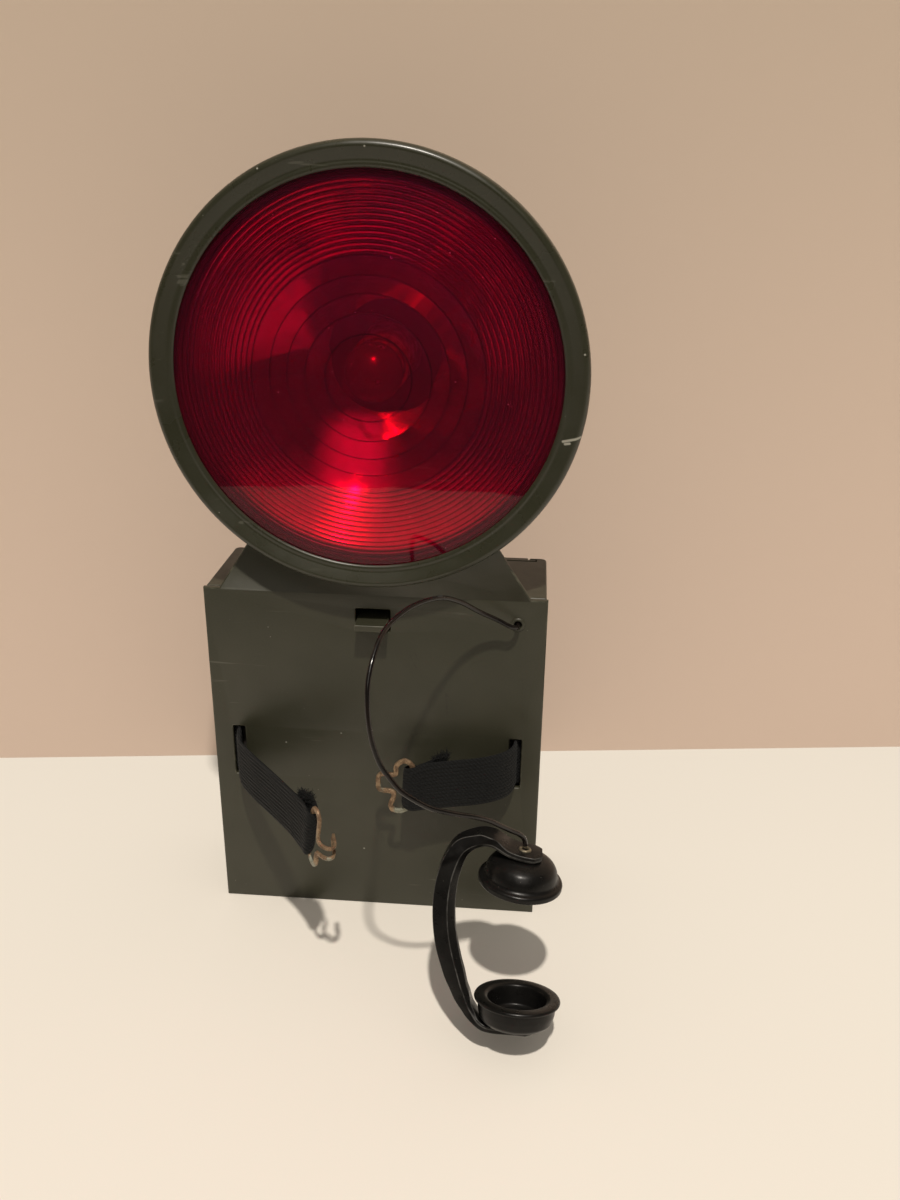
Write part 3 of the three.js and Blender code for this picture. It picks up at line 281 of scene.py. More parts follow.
def strip(name, points, level, slim):
    """A flat wire with rounded edges; level is the normal of its first flat bends.

    It is slimmer half way by the share slim, and narrower at both ends, which are the bar in the fold.
    """
    rings = []
    last = len(points) - 1
    for index, point in enumerate(points):
        tangent = direction_at(points, index)
        level = (level - tangent * level.dot(tangent)).normalized()
        across = level.cross(tangent).normalized()
        tip = index in (0, last)
        uneven = 1 + STRIP_UNEVEN * math.sin(index * 0.7) * math.sin(index * 0.23 + 1)
        uneven *= 1 - slim * math.sin(math.pi * index / last) ** 4
        held = min(1, max(0, min(index, last - index) / len(points) / 0.03 - 2.2))
        uneven *= STRIP_BAR_WIDTH + (1 - STRIP_BAR_WIDTH) * held
        half = STRIP_WIDTH / 2 * (0.5 if tip else 1) * uneven
        deep = STRIP_THICKNESS / 2 * (0.8 if tip else 1)
        deep *= STRIP_BAR_THICKNESS + (1 - STRIP_BAR_THICKNESS) * held
        corners = [(half, deep), (half, -deep), (-half, -deep), (-half, deep)]
        rings.append([point + across * u + level * v for u, v in rounded(corners, 0.2, 3, closed=True)])
    return loft(name, rings, 40)


FACET_ANGLE = math.radians(0.6)
BEVEL_ANGLE = math.radians(28)
MOULDING_SHARP = 50


def refined(node, width, name):
    """A copy of a CAD node with its facets joined and its sharp edges rounded."""
    bm = bmesh.new()
    bm.from_mesh(nodes[node].data)
    bmesh.ops.remove_doubles(bm, verts=bm.verts, dist=2e-6)
    bmesh.ops.dissolve_limit(bm, angle_limit=FACET_ANGLE, verts=bm.verts, edges=bm.edges)
    edges = []
    for edge in bm.edges:
        if len(edge.link_faces) == 2 and edge.calc_face_angle(0) > BEVEL_ANGLE:
            edges.append(edge)
    made = bmesh.ops.bevel(
        bm, geom=edges, offset=width * MM, offset_type="OFFSET", segments=3,
        profile=0.5, affect="EDGES", clamp_overlap=False,
    )
    layer = bm.loops.layers.float.new("edge")
    for face in made["faces"]:
        for loop in face.loops:
            loop[layer] = 1
    piece = new_object(name, mesh_of(name, bm, MOULDING_SHARP))
    normals = piece.modifiers.new("even_normals", "WEIGHTED_NORMAL")
    normals.keep_sharp = True
    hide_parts(node)
    return piece


def circle(x, z, radius, count):
    """Points round a hole, clockwise."""
    points = []
    for step in range(count):
        angle = -2 * math.pi * step / count
        points.append(Vector((x + radius * math.cos(angle), z + radius * math.sin(angle))))
    return points


def opening(x, z, width, height):
    """A rectangular hole with slightly rounded corners, clockwise."""
    right = width / 2 * MM
    top = height / 2 * MM
    corners = [(x - right, z - top), (x - right, z + top), (x + right, z + top), (x + right, z - top)]
    return rounded(corners, 0.3, 3, closed=True)


def inset(loop, distance):
    """The loop moved to the left of its direction, which is where the material is."""
    out = []
    count = len(loop)
    for index, point in enumerate(loop):
        before = (point - loop[index - 1]).normalized()
        after = (loop[(index + 1) % count] - point).normalized()
        left = Vector((-before.y, before.x))
        next_left = Vector((-after.y, after.x))
        out.append(point + (left + next_left) * (distance / (1 + left.dot(next_left))))
    return out


def slab(name, loops, near, far, radius, steps=4):
    """A plate from near to far in Y with rounded edges; its outline is the first loop, the rest are holes."""
    bm = bmesh.new()
    layer = bm.loops.layers.float.new("edge")
    levels = []
    for step in range(steps + 1):
        angle = math.pi / 2 * step / steps
        levels.append((radius * (1 - math.sin(angle)), near + radius * (1 - math.cos(angle)), step))
    for step in range(steps + 1):
        angle = math.pi / 2 * (1 - step / steps)
        levels.append((radius * (1 - math.sin(angle)), far - radius * (1 - math.cos(angle)), step))
    caps = ([], [])
    for loop in loops:
        rings = []
        for distance, depth, step in levels:
            moved = inset(loop, distance)
            rings.append([bm.verts.new((point.x, depth, point.y)) for point in moved])
        caps[0].append(rings[0])
        caps[1].append(rings[-1])
        for place, (low, high) in enumerate(zip(rings, rings[1:])):
            for side in range(len(loop)):
                after = (side + 1) % len(loop)
                face = bm.faces.new((low[side], low[after], high[after], high[side]))
                for corner in face.loops:
                    corner[layer] = 0 if place == steps else 1
    for rings in caps:
        verts = [vert for ring in rings for vert in ring]
        triangles = tessellate_polygon([[vert.co for vert in ring] for ring in rings])
        for triangle in triangles:
            bm.faces.new([verts[corner] for corner in triangle])
    return finish_mesh(name, bm, MOULDING_SHARP)


def inner_part(node, behind):
    """The faces of a CAD node that lie behind a depth, as they are."""
    bm = bmesh.new()
    bm.from_mesh(nodes[node].data)
    front_faces = [face for face in bm.faces if face.calc_center_median().y < behind]
    bmesh.ops.delete(bm, geom=front_faces, context="FACES")
    return finish_mesh(node + "_inner", bm, 30)


def join(name, pieces):
    """Several meshes as one object."""
    bm = bmesh.new()
    for piece in pieces:
        part = piece.data.copy()
        part.transform(piece.matrix_world)
        bm.from_mesh(part)
        bpy.data.meshes.remove(part)
    for piece in pieces:
        mesh = piece.data
        bpy.data.objects.remove(piece)
        bpy.data.meshes.remove(mesh)
    return new_object(name, mesh_of(name, bm, MOULDING_SHARP))


def dress(piece, material, body=None, replaced=()):
    """Gives a piece its material and its body, and hides the nodes it stands for."""
    piece.data.materials.clear()
    piece.data.materials.append(material)
    if replaced:
        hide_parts(*replaced)
    if body:
        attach(piece, body)
    return piece


# Materials
class Recipe:
    """A node tree that is written as nested calls."""

    def __init__(self, owner, output="OutputMaterial", place="Object"):
        owner.use_nodes = True
        self.owner = owner
        self.tree = owner.node_tree
        self.tree.nodes.clear()
        self.output = self.node(output)
        self.place = self.node("TexCoord").outputs[place]

    def node(self, kind, settings=None, **inputs):
        """A new node; an input is given by its name or by i and its number."""
        made = self.tree.nodes.new("ShaderNode" + kind)
        for key, value in (settings or {}).items():
            setattr(made, key, value)
        for key, value in inputs.items():
            numbered = key[0] == "i" and key[1:].isdigit()
            self.set(made.inputs[int(key[1:]) if numbered else key.replace("_", " ")], value)
        return made

    def set(self, socket, value):
        if isinstance(value, bpy.types.NodeSocket):
            self.tree.links.new(value, socket)
        elif isinstance(value, bpy.types.Node):
            self.tree.links.new(value.outputs[0], socket)
        else:
            socket.default_value = value

    def noise(self, scale, detail=3, roughness=0.5, vector=None):
        return self.node(
            "TexNoise", Vector=vector or self.place, Scale=scale, Detail=detail, Roughness=roughness,
        ).outputs["Fac"]

    def stretched(self, x, y, z):
        return self.node("Mapping", Vector=self.place, Scale=(x, y, z)).outputs[0]

    def ramp(self, value, low, high, low_out=0, high_out=1):
        return self.node(
            "MapRange", {"interpolation_type": "SMOOTHSTEP"},
            i0=value, i1=low, i2=high, i3=low_out, i4=high_out,
        ).outputs[0]

    def patches(self, scale, detail, roughness, low, high, low_out=0, high_out=1, vector=None):
        """Noise that goes from low_out to high_out between two of its values."""
        return self.ramp(self.noise(scale, detail, roughness, vector), low, high, low_out, high_out)

    def cells(self, scale, small, large):
        """Scattered spots: 1 within the size small, 0 beyond the size large."""
        spots = self.node("TexVoronoi", Vector=self.place, Scale=scale).outputs["Distance"]
        return self.ramp(spots, small, large, 1, 0)

    def specks(self, scale, small, large, spread, low, high):
        """Spots that only lie in patches."""
        return self.times(self.cells(scale, small, large), self.patches(spread, 2, 0.5, low, high))

    def math(self, operation, a, b=0.0):
        return self.node("Math", {"operation": operation}, i0=a, i1=b).outputs[0]

    def vector(self, operation, a, b=(0, 0, 0), output="Vector"):
        return self.node("VectorMath", {"operation": operation}, i0=a, i1=b).outputs[output]

    def times(self, *values):
        total = values[0]
        for value in values[1:]:
            total = self.math("MULTIPLY", total, value)
        return total

    def either(self, values):
        total = values[0]
        for value in values[1:]:
            total = self.math("MAXIMUM", total, value)
        return total

    def mix(self, share, a, b):
        return self.node("Mix", {"data_type": "RGBA"}, i0=share, i6=a, i7=b).outputs[2]

    def over(self, colour, red, green, blue, *shares):
        """The colour with another laid over it by the product of the shares."""
        return self.mix(self.times(*shares), colour, rgba(red, green, blue))

    def bump(self, height, strength, distance, under=None):
        made = self.node("Bump", Height=height, Strength=strength, Distance=distance)
        if under is not None:
            self.set(made.inputs["Normal"], under)
        return made.outputs[0]

    def height(self, axis="Z"):
        return self.node("SeparateXYZ", Vector=self.place).outputs[axis]

    def edge(self):
        """The marks that the mesh carries on its worn edges, on the straps' rib crests, and on the straps' top
        border and the handle's corners, where they also make a painted highlight.
        """
        return self.node("Attribute", {"attribute_name": "edge"}).outputs["Fac"]

    def stroke(self, start, end, width):
        """1 along a short line on a face that looks along Y, 0 away from it."""
        begin = mm(start[0], 0, start[1])
        line = mm(end[0], 0, end[1]) - begin
        offset = self.vector("SUBTRACT", self.vector("MULTIPLY", self.place, (1, 0, 1)), begin)
        along = self.vector("DOT_PRODUCT", offset, line, "Value")
        clamped = {"operation": "DIVIDE", "use_clamp": True}
        share = self.node("Math", clamped, i0=along, i1=line.length_squared)
        near = self.node("VectorMath", {"operation": "SCALE"}, i0=line, Scale=share)
        apart = self.vector("LENGTH", self.vector("SUBTRACT", offset, near), output="Value")
        return self.ramp(apart, width * MM * 0.4, width * MM, 1, 0)

    def finish(self, surface):
        self.set(self.output.inputs["Surface"], surface)
        return self.owner

    def solid(self, colour, rough, normal, **inputs):
        made = self.node("BsdfPrincipled", Base_Color=colour, Roughness=rough, Normal=normal, **inputs)
        return self.finish(made)

    def clear(self, shader, shade):
        """The shader, but light on its way to a lamp goes straight through and takes the colour shade."""
        through = self.node("BsdfTransparent", Color=shade)
        shadow = self.node("LightPath").outputs["Is Shadow Ray"]
        return self.finish(self.node("MixShader", i0=shadow, i1=shader, i2=through))


def new_recipe(name):
    return Recipe(bpy.data.materials.new(name))


def rgba(red, green, blue):
    return (red, green, blue, 1)


PLASTIC_DUST = (0.34, 0.33, 0.28)
PLASTIC_RUBBED = (0.13, 0.125, 0.09)
PLASTIC_SCRATCH = (0.3, 0.29, 0.24)
DARK_MARK = (0.022, 0.02, 0.014)
PALE_DOT = (0.36, 0.35, 0.3)
PALE_MARK = (0.36, 0.35, 0.29)


def olive_plastic(name, base, dark, light, strokes, dots, gloss=0.42):
    """Satin moulded plastic with fine grain, slow mottling, dust, rubbed edges and a few placed marks."""
    r = new_recipe(name)
    colour = r.mix(r.patches(38, 5, 0.6, 0.32, 0.7), rgba(*base), rgba(*dark))
    colour = r.over(colour, *light, r.patches(2600, 3, 0.7, 0.25, 0.8), 0.22)
    colour = r.over(colour, *light, r.patches(9, 4, 0.65, 0.4, 0.75, vector=r.stretched(1, 1, 0.35)), 0.16)
    colour = r.over(colour, *PLASTIC_DUST, r.specks(420, 0.03, 0.055, 60, 0.55, 0.68), 0.5)
    colour = r.over(colour, *PLASTIC_RUBBED, r.edge(), r.patches(240, 4, 0.7, 0.42, 0.66), 0.4)
    hair = r.patches(900, 2, 0.5, 0.66, 0.72, vector=r.stretched(0.06, 1, 1))
    colour = r.over(colour, *PLASTIC_SCRATCH, hair, r.patches(45, 2, 0.5, 0.5, 0.66), 0.14)
    dark_marks = [r.stroke(start, end, width) for start, end, width, pale in strokes if not pale]
    if dark_marks:
        colour = r.over(colour, *DARK_MARK, r.either(dark_marks), r.patches(800, 3, 0.5, 0.35, 0.6), 0.8)
    pale_marks = [r.stroke(start, end, width) for start, end, width, pale in strokes if pale]
    if pale_marks:
        colour = r.over(colour, *PALE_MARK, r.either(pale_marks), 0.75)
    spots = [r.stroke((x, z), (x + 0.05, z), width) for x, z, width in dots]
    colour = r.over(colour, *PALE_DOT, r.either(spots), 0.7)
    rough = r.patches(120, 4, 0.6, 0.3, 0.75, gloss - 0.06, gloss + 0.1)
    normal = r.bump(r.noise(1900, 4, 0.6), 0.1, 0.00006)
    return r.solid(colour, rough, r.bump(r.noise(55, 2), 0.2, 0.0009, normal))


COARSE_EDGES = [8.0, 11.7, 15.1, 18.3, 21.7]
FINE_PITCH = 1.0
LENS_RED = (0.66, 0.026, 0.14)
# The colour of the painted shade along the ring edges
LENS_LINE_SHADE = (0.06, 0.002, 0.01)
LENS_SHADE = (0.82, 0.04, 0.2)


def red_glass():
    """Clear red plastic with painted shade as darker lines at the edges between the rings on its back, fine
    scratches and dust.
    """
    r = new_recipe("lens_red_plastic")
    around = r.vector("MULTIPLY", r.vector("SUBTRACT", r.place, HEAD_CENTRE), (1, 0, 1))
    radius = r.vector("LENGTH", around, output="Value")
    turns = r.math("DIVIDE", r.math("SUBTRACT", radius, COARSE_EDGES[-1] * MM), FINE_PITCH * MM)
    fine = r.math("ABSOLUTE", r.math("SUBTRACT", r.math("FRACT", r.math("ADD", turns, 0.5)), 0.5))
    start = COARSE_EDGES[-1] * MM
    # Painted shade: dark lines along the edges between the rings
    lines = [r.times(r.ramp(fine, 0.05, 0.2, 1, 0), r.ramp(radius, start - 0.1 * MM, start + 0.1 * MM))]
    for edge in COARSE_EDGES:
        apart = r.math("ABSOLUTE", r.math("SUBTRACT", radius, edge * MM))
        lines.append(r.ramp(apart, 0.1 * MM, 0.22 * MM, 1, 0))
    behind = r.math("GREATER_THAN", r.height("Y"), LENS_FACE + 0.4 * MM)
    scratches = r.either([
        r.patches(1500, 2, 0.5, 0.69, 0.74, vector=r.stretched(0.05, 1, 1)),
        r.patches(1300, 2, 0.5, 0.7, 0.75, vector=r.stretched(1, 1, 0.06)),
    ])
    dust = r.times(r.specks(520, 0.03, 0.06, 80, 0.5, 0.66), 0.4)
    rough = r.math("ADD", r.patches(90, 4, 0.6, 0.3, 0.8, 0.0, 0.02), dust)
    shader = r.node(
        "BsdfPrincipled", IOR=1.49, Transmission_Weight=0.965,
        Base_Color=r.mix(r.times(r.either(lines), behind, 0.95), rgba(*LENS_RED), rgba(*LENS_LINE_SHADE)),
        Roughness=r.math("ADD", rough, r.times(scratches, 0.15)),
        Normal=r.bump(r.noise(45, 2), 0.12, 0.0005),
    )
    return r.clear(shader, rgba(*LENS_SHADE))


def clear_glass():
    r = new_recipe("bulb_glass_clear")
    shader = r.node(
        "BsdfPrincipled", IOR=1.5, Transmission_Weight=0.85, Base_Color=rgba(0.26, 0.25, 0.22),
        Roughness=r.patches(500, 4, 0.6, 0.3, 0.8, 0.12, 0.3),
    )
    return r.clear(shader, rgba(0.9, 0.9, 0.86))


def mirror_metal():
    """Bright metal film on moulded plastic, with slight ripples, tarnish and dust lying in its lower side."""
    r = new_recipe("reflector_film")
    dust = r.ramp(r.height(), HEAD_Z - 33 * MM, HEAD_Z - 15 * MM, 0.62, 0)
    dust = r.times(dust, r.patches(300, 4, 0.7, 0.2, 0.7, 0.75, 1))
    colour = r.mix(r.patches(90, 5, 0.65, 0.35, 0.75), rgba(0.9, 0.89, 0.86), rgba(0.66, 0.63, 0.57))
    colour = r.over(colour, 0.8, 0.78, 0.74, dust)
    rough = r.math("ADD", r.patches(260, 4, 0.6, 0.3, 0.8, 0.05, 0.13), r.times(dust, 0.2))
    normal = r.bump(r.noise(50), 0.3, 0.0012)
    return r.solid(colour, rough, normal, Metallic=r.math("SUBTRACT", 1.0, dust))


def old_brass():
    """Worn brass wire with brown tarnish and patches of verdigris, two of them placed on the clasps."""
    r = new_recipe("brass_tarnished")
    worn = r.patches(620, 5, 0.7, 0.4, 0.6)
    green = r.either([
        r.patches(260, 4, 0.6, 0.58, 0.68),
        r.stroke((5.6, 30.0), (7.4, 29.8), 1.5), r.stroke((-8.6, 29.4), (-9.0, 29.9), 1.2),
    ])
    colour = r.mix(worn, rgba(0.12, 0.068, 0.034), rgba(0.31, 0.215, 0.13))
    colour = r.over(colour, 0.23, 0.25, 0.2, green, 0.8)
    colour = r.over(colour, 0.045, 0.03, 0.018, r.cells(2600, 0.12, 0.34), 0.55)
    metal = r.math("SUBTRACT", r.ramp(worn, 0, 1, 0.2, 0.6), r.times(green, 0.2))
    normal = r.bump(r.noise(1500, 4, 0.7), 0.6, 0.00012)
    return r.solid(colour, r.ramp(worn, 0, 1, 0.7, 0.45), normal, Metallic=metal)


def dull_brass():
    """Pale rolled brass with dark grime in its low places."""
    r = new_recipe("brass_dull")
    grime = r.patches(1400, 4, 0.65, 0.42, 0.66)
    colour = r.mix(grime, rgba(0.3, 0.26, 0.18), rgba(0.07, 0.06, 0.045))
    normal = r.bump(r.noise(2200), 0.4, 0.00006)
    return r.solid(colour, r.ramp(grime, 0, 1, 0.36, 0.7), normal, Metallic=r.ramp(grime, 0, 1, 0.8, 0.2))


def plain_steel():
    """Dull steel with spots of rust."""
    r = new_recipe("steel_dull")
    spots = r.patches(420, 4, 0.65, 0.5, 0.72)
    colour = r.mix(spots, rgba(0.5, 0.49, 0.46), rgba(0.2, 0.14, 0.09))
    normal = r.bump(r.noise(1800), 0.25, 0.00005)
    return r.solid(colour, r.ramp(spots, 0, 1, 0.3, 0.6), normal, Metallic=r.ramp(spots, 0, 1, 1, 0.5))


def dark_board():
    """Brown pressed board with fibres that lie level."""
    r = new_recipe("insulator_board")
    fibre = r.noise(700, 4, 0.6, r.stretched(1, 1, 0.15))
    colour = r.mix(r.ramp(fibre, 0.3, 0.75), rgba(0.03, 0.018, 0.011), rgba(0.075, 0.045, 0.028))
    return r.solid(colour, r.ramp(fibre, 0.3, 0.7, 0.55, 0.8), r.bump(fibre, 0.3, 0.0001))


def battery_paper():
    """Dark card wrap with a brown band round its top."""
    r = new_recipe("battery_card_wrap")
    band = r.ramp(r.height(), 0.0485, 0.0495)
    fibre = r.noise(900, 4, 0.65)
    colour = r.mix(band, rgba(0.035, 0.03, 0.026), rgba(0.1, 0.075, 0.05))
    colour = r.over(colour, 0.2, 0.17, 0.13, r.ramp(fibre, 0.4, 0.8), 0.25)
    return r.solid(colour, r.ramp(fibre, 0.3, 0.7, 0.6, 0.85), r.bump(fibre, 0.2, 0.00006))


def elastic_web():
    """Near-black woven elastic: fine crossing threads on ribs that the mesh has, with paler rib crests and a
    painted highlight along its top border.
    """
    r = new_recipe("elastic_ribbed")
    cord = r.node(
        "TexWave", {"wave_type": "BANDS", "bands_direction": "DIAGONAL"},
        Vector=r.place, Scale=640, Distortion=1.2, Detail=2, Detail_Scale=3,
    ).outputs["Fac"]
    fuzz = r.noise(3200, 4, 0.7)
    colour = r.mix(cord, rgba(0.0016, 0.0019, 0.002), rgba(0.0048, 0.0054, 0.0056))
    colour = r.over(colour, 0.0062, 0.0068, 0.007, r.patches(130, 4, 0.6, 0.35, 0.7), 0.3)
    # Paler rib crests, and a painted highlight along the strap's top border
    colour = r.over(colour, 0.085, 0.088, 0.087, r.edge(), r.patches(1600, 3, 0.7, 0.3, 0.62), 0.6)
    colour = r.over(colour, 0.09, 0.09, 0.088, r.ramp(fuzz, 0.68, 0.82), 0.2)
    normal = r.bump(fuzz, 0.35, 0.0001, r.bump(cord, 0.5, 0.00012))
    return r.solid(
        colour, r.ramp(fuzz, 0.3, 0.8, 0.78, 0.95), normal,
        Specular_IOR_Level=0.25, Sheen_Weight=0.04, Sheen_Roughness=0.5,
    )


def handset_plastic():
    """Nearly black satin plastic, dusty in patches, with the handle's corners paler: partly rubbed, partly a
    painted highlight.
    """
    r = new_recipe("handset_black_plastic")
    slow = r.patches(150, 4, 0.6, 0.35, 0.7)
    colour = r.mix(slow, rgba(0.0048, 0.0046, 0.0043), rgba(0.0085, 0.008, 0.0073))
    colour = r.over(colour, 0.06, 0.057, 0.05, r.patches(1700, 4, 0.7, 0.54, 0.76), 0.1)
    # Paler marked corners: partly wear, partly a painted highlight
    colour = r.over(colour, 0.085, 0.083, 0.077, r.edge(), r.patches(260, 4, 0.7, 0.3, 0.6), 0.7)
    colour = r.over(colour, 0.3, 0.28, 0.24, r.specks(900, 0.04, 0.09, 170, 0.52, 0.66), 0.35)
    rough = r.patches(420, 4, 0.65, 0.3, 0.8, 0.26, 0.4)
    normal = r.bump(r.noise(2200, 3, 0.6), 0.22, 0.00005)
    normal = r.bump(r.noise(180), 0.25, 0.00035, normal)
    return r.solid(colour, rough, normal, Specular_IOR_Level=0.2)


def lead_plastic():
    """Thin dark brown insulation, glossy where it was handled."""
    r = new_recipe("lead_brown_plastic")
    slow = r.patches(160, 4, 0.6, 0.35, 0.7)
    colour = r.mix(slow, rgba(0.0045, 0.004, 0.0037), rgba(0.0105, 0.0072, 0.006))
    rough = r.patches(900, 4, 0.6, 0.3, 0.8, 0.13, 0.3)
    return r.solid(colour, rough, r.bump(r.noise(700, 3, 0.6), 0.2, 0.0001), Specular_IOR_Level=0.36)


make_camera()

# Handset lead: the same route as its solid, from its hole to the eyelet
LEAD_ROUTE = [
    (29.15, -12.8, 70.9), (29, -13.9, 70.95), (27.9, -15, 71.5), (25.2, -15.8, 73.2),
    (21.7, -17.7, 75.6), (18, -21.6, 79.2), (14.6, -26.3, 81.8), (10.6, -32.3, 82.7), (8.3, -36.1, 82.3),
    (6.2, -40.6, 81.2), (5, -45.3, 78.8), (4.4, -48.5, 75.4), (4.4, -49.9, 72.3), (4.6, -50.7, 69.3),
    (5.3, -51.3, 65), (6.7, -51.5, 60.7), (8.2, -51.3, 58.1), (10, -51.1, 55.6), (12.4, -50.5, 53.4),
    (15.1, -49.3, 51.1), (17.7, -47.9, 49.5), (20.3, -46.3, 48), (22.9, -44.5, 46.5), (25.6, -42.4, 44.4),
    (27.5, -41, 42.5), (29.4, -39.4, 40.5), (31, -38.2, 39), (32.1, -37.4, 37.4), (32.4, -37.25, 35.8),
]
LEAD_DIAMETER = 0.96 * MM
lead_skin = lead_plastic()


def make_lead():
    points = spline_points([mm(*point) for point in LEAD_ROUTE], 170)
    data = bpy.data.curves.new("handset_lead_wire", "CURVE")
    data.dimensions = "3D"
    data.bevel_depth = LEAD_DIAMETER / 2
    data.bevel_resolution = 5
    data.use_fill_caps = True
    line = data.splines.new("POLY")
    line.points.add(len(points) - 1)
    for knot, point in zip(line.points, points):
        knot.co = (*point, 1)
    line.use_smooth = True
    lead = new_object("handset_lead_wire", data)
    dress(lead, lead_skin, "lead", ["handset_lead"])


make_lead()

# Case
case_skin = olive_plastic(
    "case_olive_plastic",
    (0.033, 0.0325, 0.0195), (0.0265, 0.027, 0.0155), (0.056, 0.052, 0.034),
    strokes=[
        ((14.8, 54.5), (15.1, 49.5), 0.22, 0), ((15.1, 54.2), (15.9, 52.9), 0.16, 0),
        ((7.3, 63.0), (8.6, 60.1), 0.16, 0), ((8.3, 63.6), (9.2, 61.6), 0.14, 0),
    ],
    dots=[(-19.5, 41.0, 0.22), (-3.1, 14.8, 0.24), (-7.5, 43.9, 0.18)],
)
bezel_skin = olive_plastic(
    "bezel_olive_plastic",
    (0.024, 0.0245, 0.0135), (0.02, 0.0212, 0.0108), (0.045, 0.043, 0.028),
    strokes=[((36.0, 109.6), (39.2, 110.6), 0.3, 1), ((36.4, 109.2), (37.2, 109.4), 0.3, 1)],
    dots=[(39.0, 125.5, 0.24), (0.4, 158.9, 0.2), (-18.0, 155.2, 0.2)],
    gloss=0.3,
)


# The plate's sizes: its shoulders, its key window, its strap slots and the lead's hole
SHOULDER_LAND = 3.4
SHOULDER_SLOPE = math.radians(57)
DISC_STEPS = 160
WINDOW_BELOW_TOP = 3.3
WINDOW_WIDTH = 7.1
WINDOW_HEIGHT = 4.9
HOLE_RADIUS = 0.8
SLOT_X = 29.6
SLOT_MIDDLE = 38.5
SLOT_WIDTH = 2.6
SLOT_HEIGHT = 11.8
PLATE_ROUNDING = 0.3


def hole_rim():
    """The slight raised rim round the lead's hole."""
    centre = middle_of("lead_knot")
    profile = mm_profile([
        (HOLE_RADIUS, 0.3), (HOLE_RADIUS, -0.22), (0.95, -0.32), (1.25, -0.3), (1.45, -0.1), (1.5, 0.3),
    ], 0.1, 2)
    return lathe("lead_hole_rim", profile, Vector((centre.x, FRONT, centre.z)), sides=32)


def plate_loops():
    """The plate's outline, anticlockwise, and its openings, clockwise, in X and Z."""
    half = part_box("rear_housing")[1].x + 0.3 * MM
    box_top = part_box("battery_door")[1].z
    land = half - SHOULDER_LAND * MM
    disc = plate_high.z - HEAD_Z
    heading = Vector((-math.cos(SHOULDER_SLOPE), math.sin(SHOULDER_SLOPE)))
    start = Vector((land, box_top - HEAD_Z))
    along = start.dot(heading)
    meet = start + heading * (-along - math.sqrt(along * along - start.length_squared + disc * disc))
    first = math.atan2(meet.y, meet.x)
    outline = [Vector((-half, 0)), Vector((half, 0)), Vector((half, box_top)), Vector((land, box_top))]
    for step in range(DISC_STEPS + 1):
        angle = first + (math.pi - 2 * first) * step / DISC_STEPS
        outline.append(Vector((disc * math.cos(angle), HEAD_Z + disc * math.sin(angle))))
    outline += [Vector((-land, box_top)), Vector((-half, box_top))]
    hole = middle_of("lead_knot")
    key_x = middle_of("key_lever").x
    window_top = box_top - WINDOW_BELOW_TOP * MM
    loops = [
        outline, circle(0, HEAD_Z, OPENING - 1.4 * MM, 160), circle(hole.x, hole.z, HOLE_RADIUS * MM, 40),
        opening(key_x, window_top - WINDOW_HEIGHT / 2 * MM, WINDOW_WIDTH, WINDOW_HEIGHT),
    ]
    for side in (-1, 1):
        loops.append(opening(side * SLOT_X * MM, SLOT_MIDDLE * MM, SLOT_WIDTH, SLOT_HEIGHT))
    return loops


def make_case():
    plate = join("front_plate_moulding", [
        slab("plate_slab", plate_loops(), FRONT, PLATE_BACK, PLATE_ROUNDING * MM),
        inner_part("front_plate", PLATE_BACK + 0.01 * MM),
    ])
    dress(plate, case_skin, "case", ["front_plate"])
    dress(hole_rim(), case_skin, "case")
    for node, rounding, body in (
        ("rear_housing", 0.32, "case"), ("battery_door", 0.22, "door"), ("key_lever", 0.22, "key"),
    ):
        dress(refined(node, rounding, node + "_moulding"), case_skin, body)


make_case()

# Lamp head
def make_bezel():
    face = bezel_low.y
    back = bezel_high.y
    bore = (lens_high.x - lens_low.x) / 2 + 0.3 * MM
    lip = LENS_FACE - 0.3 * MM
    inner = OPENING
    outer = BEZEL_RADIUS
    outline = [
        (inner, lip), (inner, face + 1.3 * MM), (inner + 0.2 * MM, face + 0.98 * MM),
        (inner + 0.65 * MM, face + 0.84 * MM), (inner + 1.1 * MM, face + 0.96 * MM),
        (inner + 1.4 * MM, face + 0.92 * MM), (outer - 1.2 * MM, face), (outer - 0.7 * MM, face + 0.12 * MM),
        (outer - 0.2 * MM, face + 0.6 * MM), (outer, face + 1.4 * MM), (outer, back - 0.3 * MM),
        (outer - 0.3 * MM, back), (bore, back), (bore, lip),
    ]
    profile = rounded(outline, 0.3, 3, closed=True)
    ring = lathe("bezel_moulding", profile, sides=256, closed=True, sharp=40)
    dress(ring, bezel_skin, "case", ["bezel_ring"])


FINE_RISE = 0.15
COARSE_RISE = 0.6
LENS_THICKNESS = 1.8
LENS_RIM = 1.8


def make_lens():
    face = LENS_FACE
    foot = lens_high.y
    back = face + LENS_THICKNESS * MM
    radius = (lens_high.x - lens_low.x) / 2
    rim = radius - LENS_RIM * MM
    edges = [edge * MM for edge in COARSE_EDGES]
    while edges[-1] + FINE_PITCH * MM < rim - 0.2 * MM:
        edges.append(edges[-1] + FINE_PITCH * MM)
    profile = [
        (0, face), (radius - 0.3 * MM, face), (radius, face + 0.3 * MM), (radius, foot), (rim, foot),
        (rim, back), (edges[-1], back),
    ]
    for ring in range(len(edges) - 1, 0, -1):
        outer = edges[ring]
        inner = edges[ring - 1]
        if ring < len(COARSE_EDGES):
            # A broad ring gets thicker towards the middle and is slightly rounded
            outer -= 0.02 * MM
            for step in range(5):
                share = step / 4
                fall = COARSE_RISE * MM * (1 - share - 0.1 * math.sin(math.pi * share))
                profile.append((outer + (inner - outer) * share, back - fall))
        else:
            # A fine ring is a small rounded ridge
            for step in range(1, 7):
                share = step / 6
                rise = FINE_RISE * MM * math.sin(math.pi * share)
                profile.append((outer + (inner - outer) * share, back - rise))
    profile.append((0, back))
    lens = lathe("lens_moulding", profile, sides=256, sharp=24)
    dress(lens, red_glass(), "case", ["red_lens"])


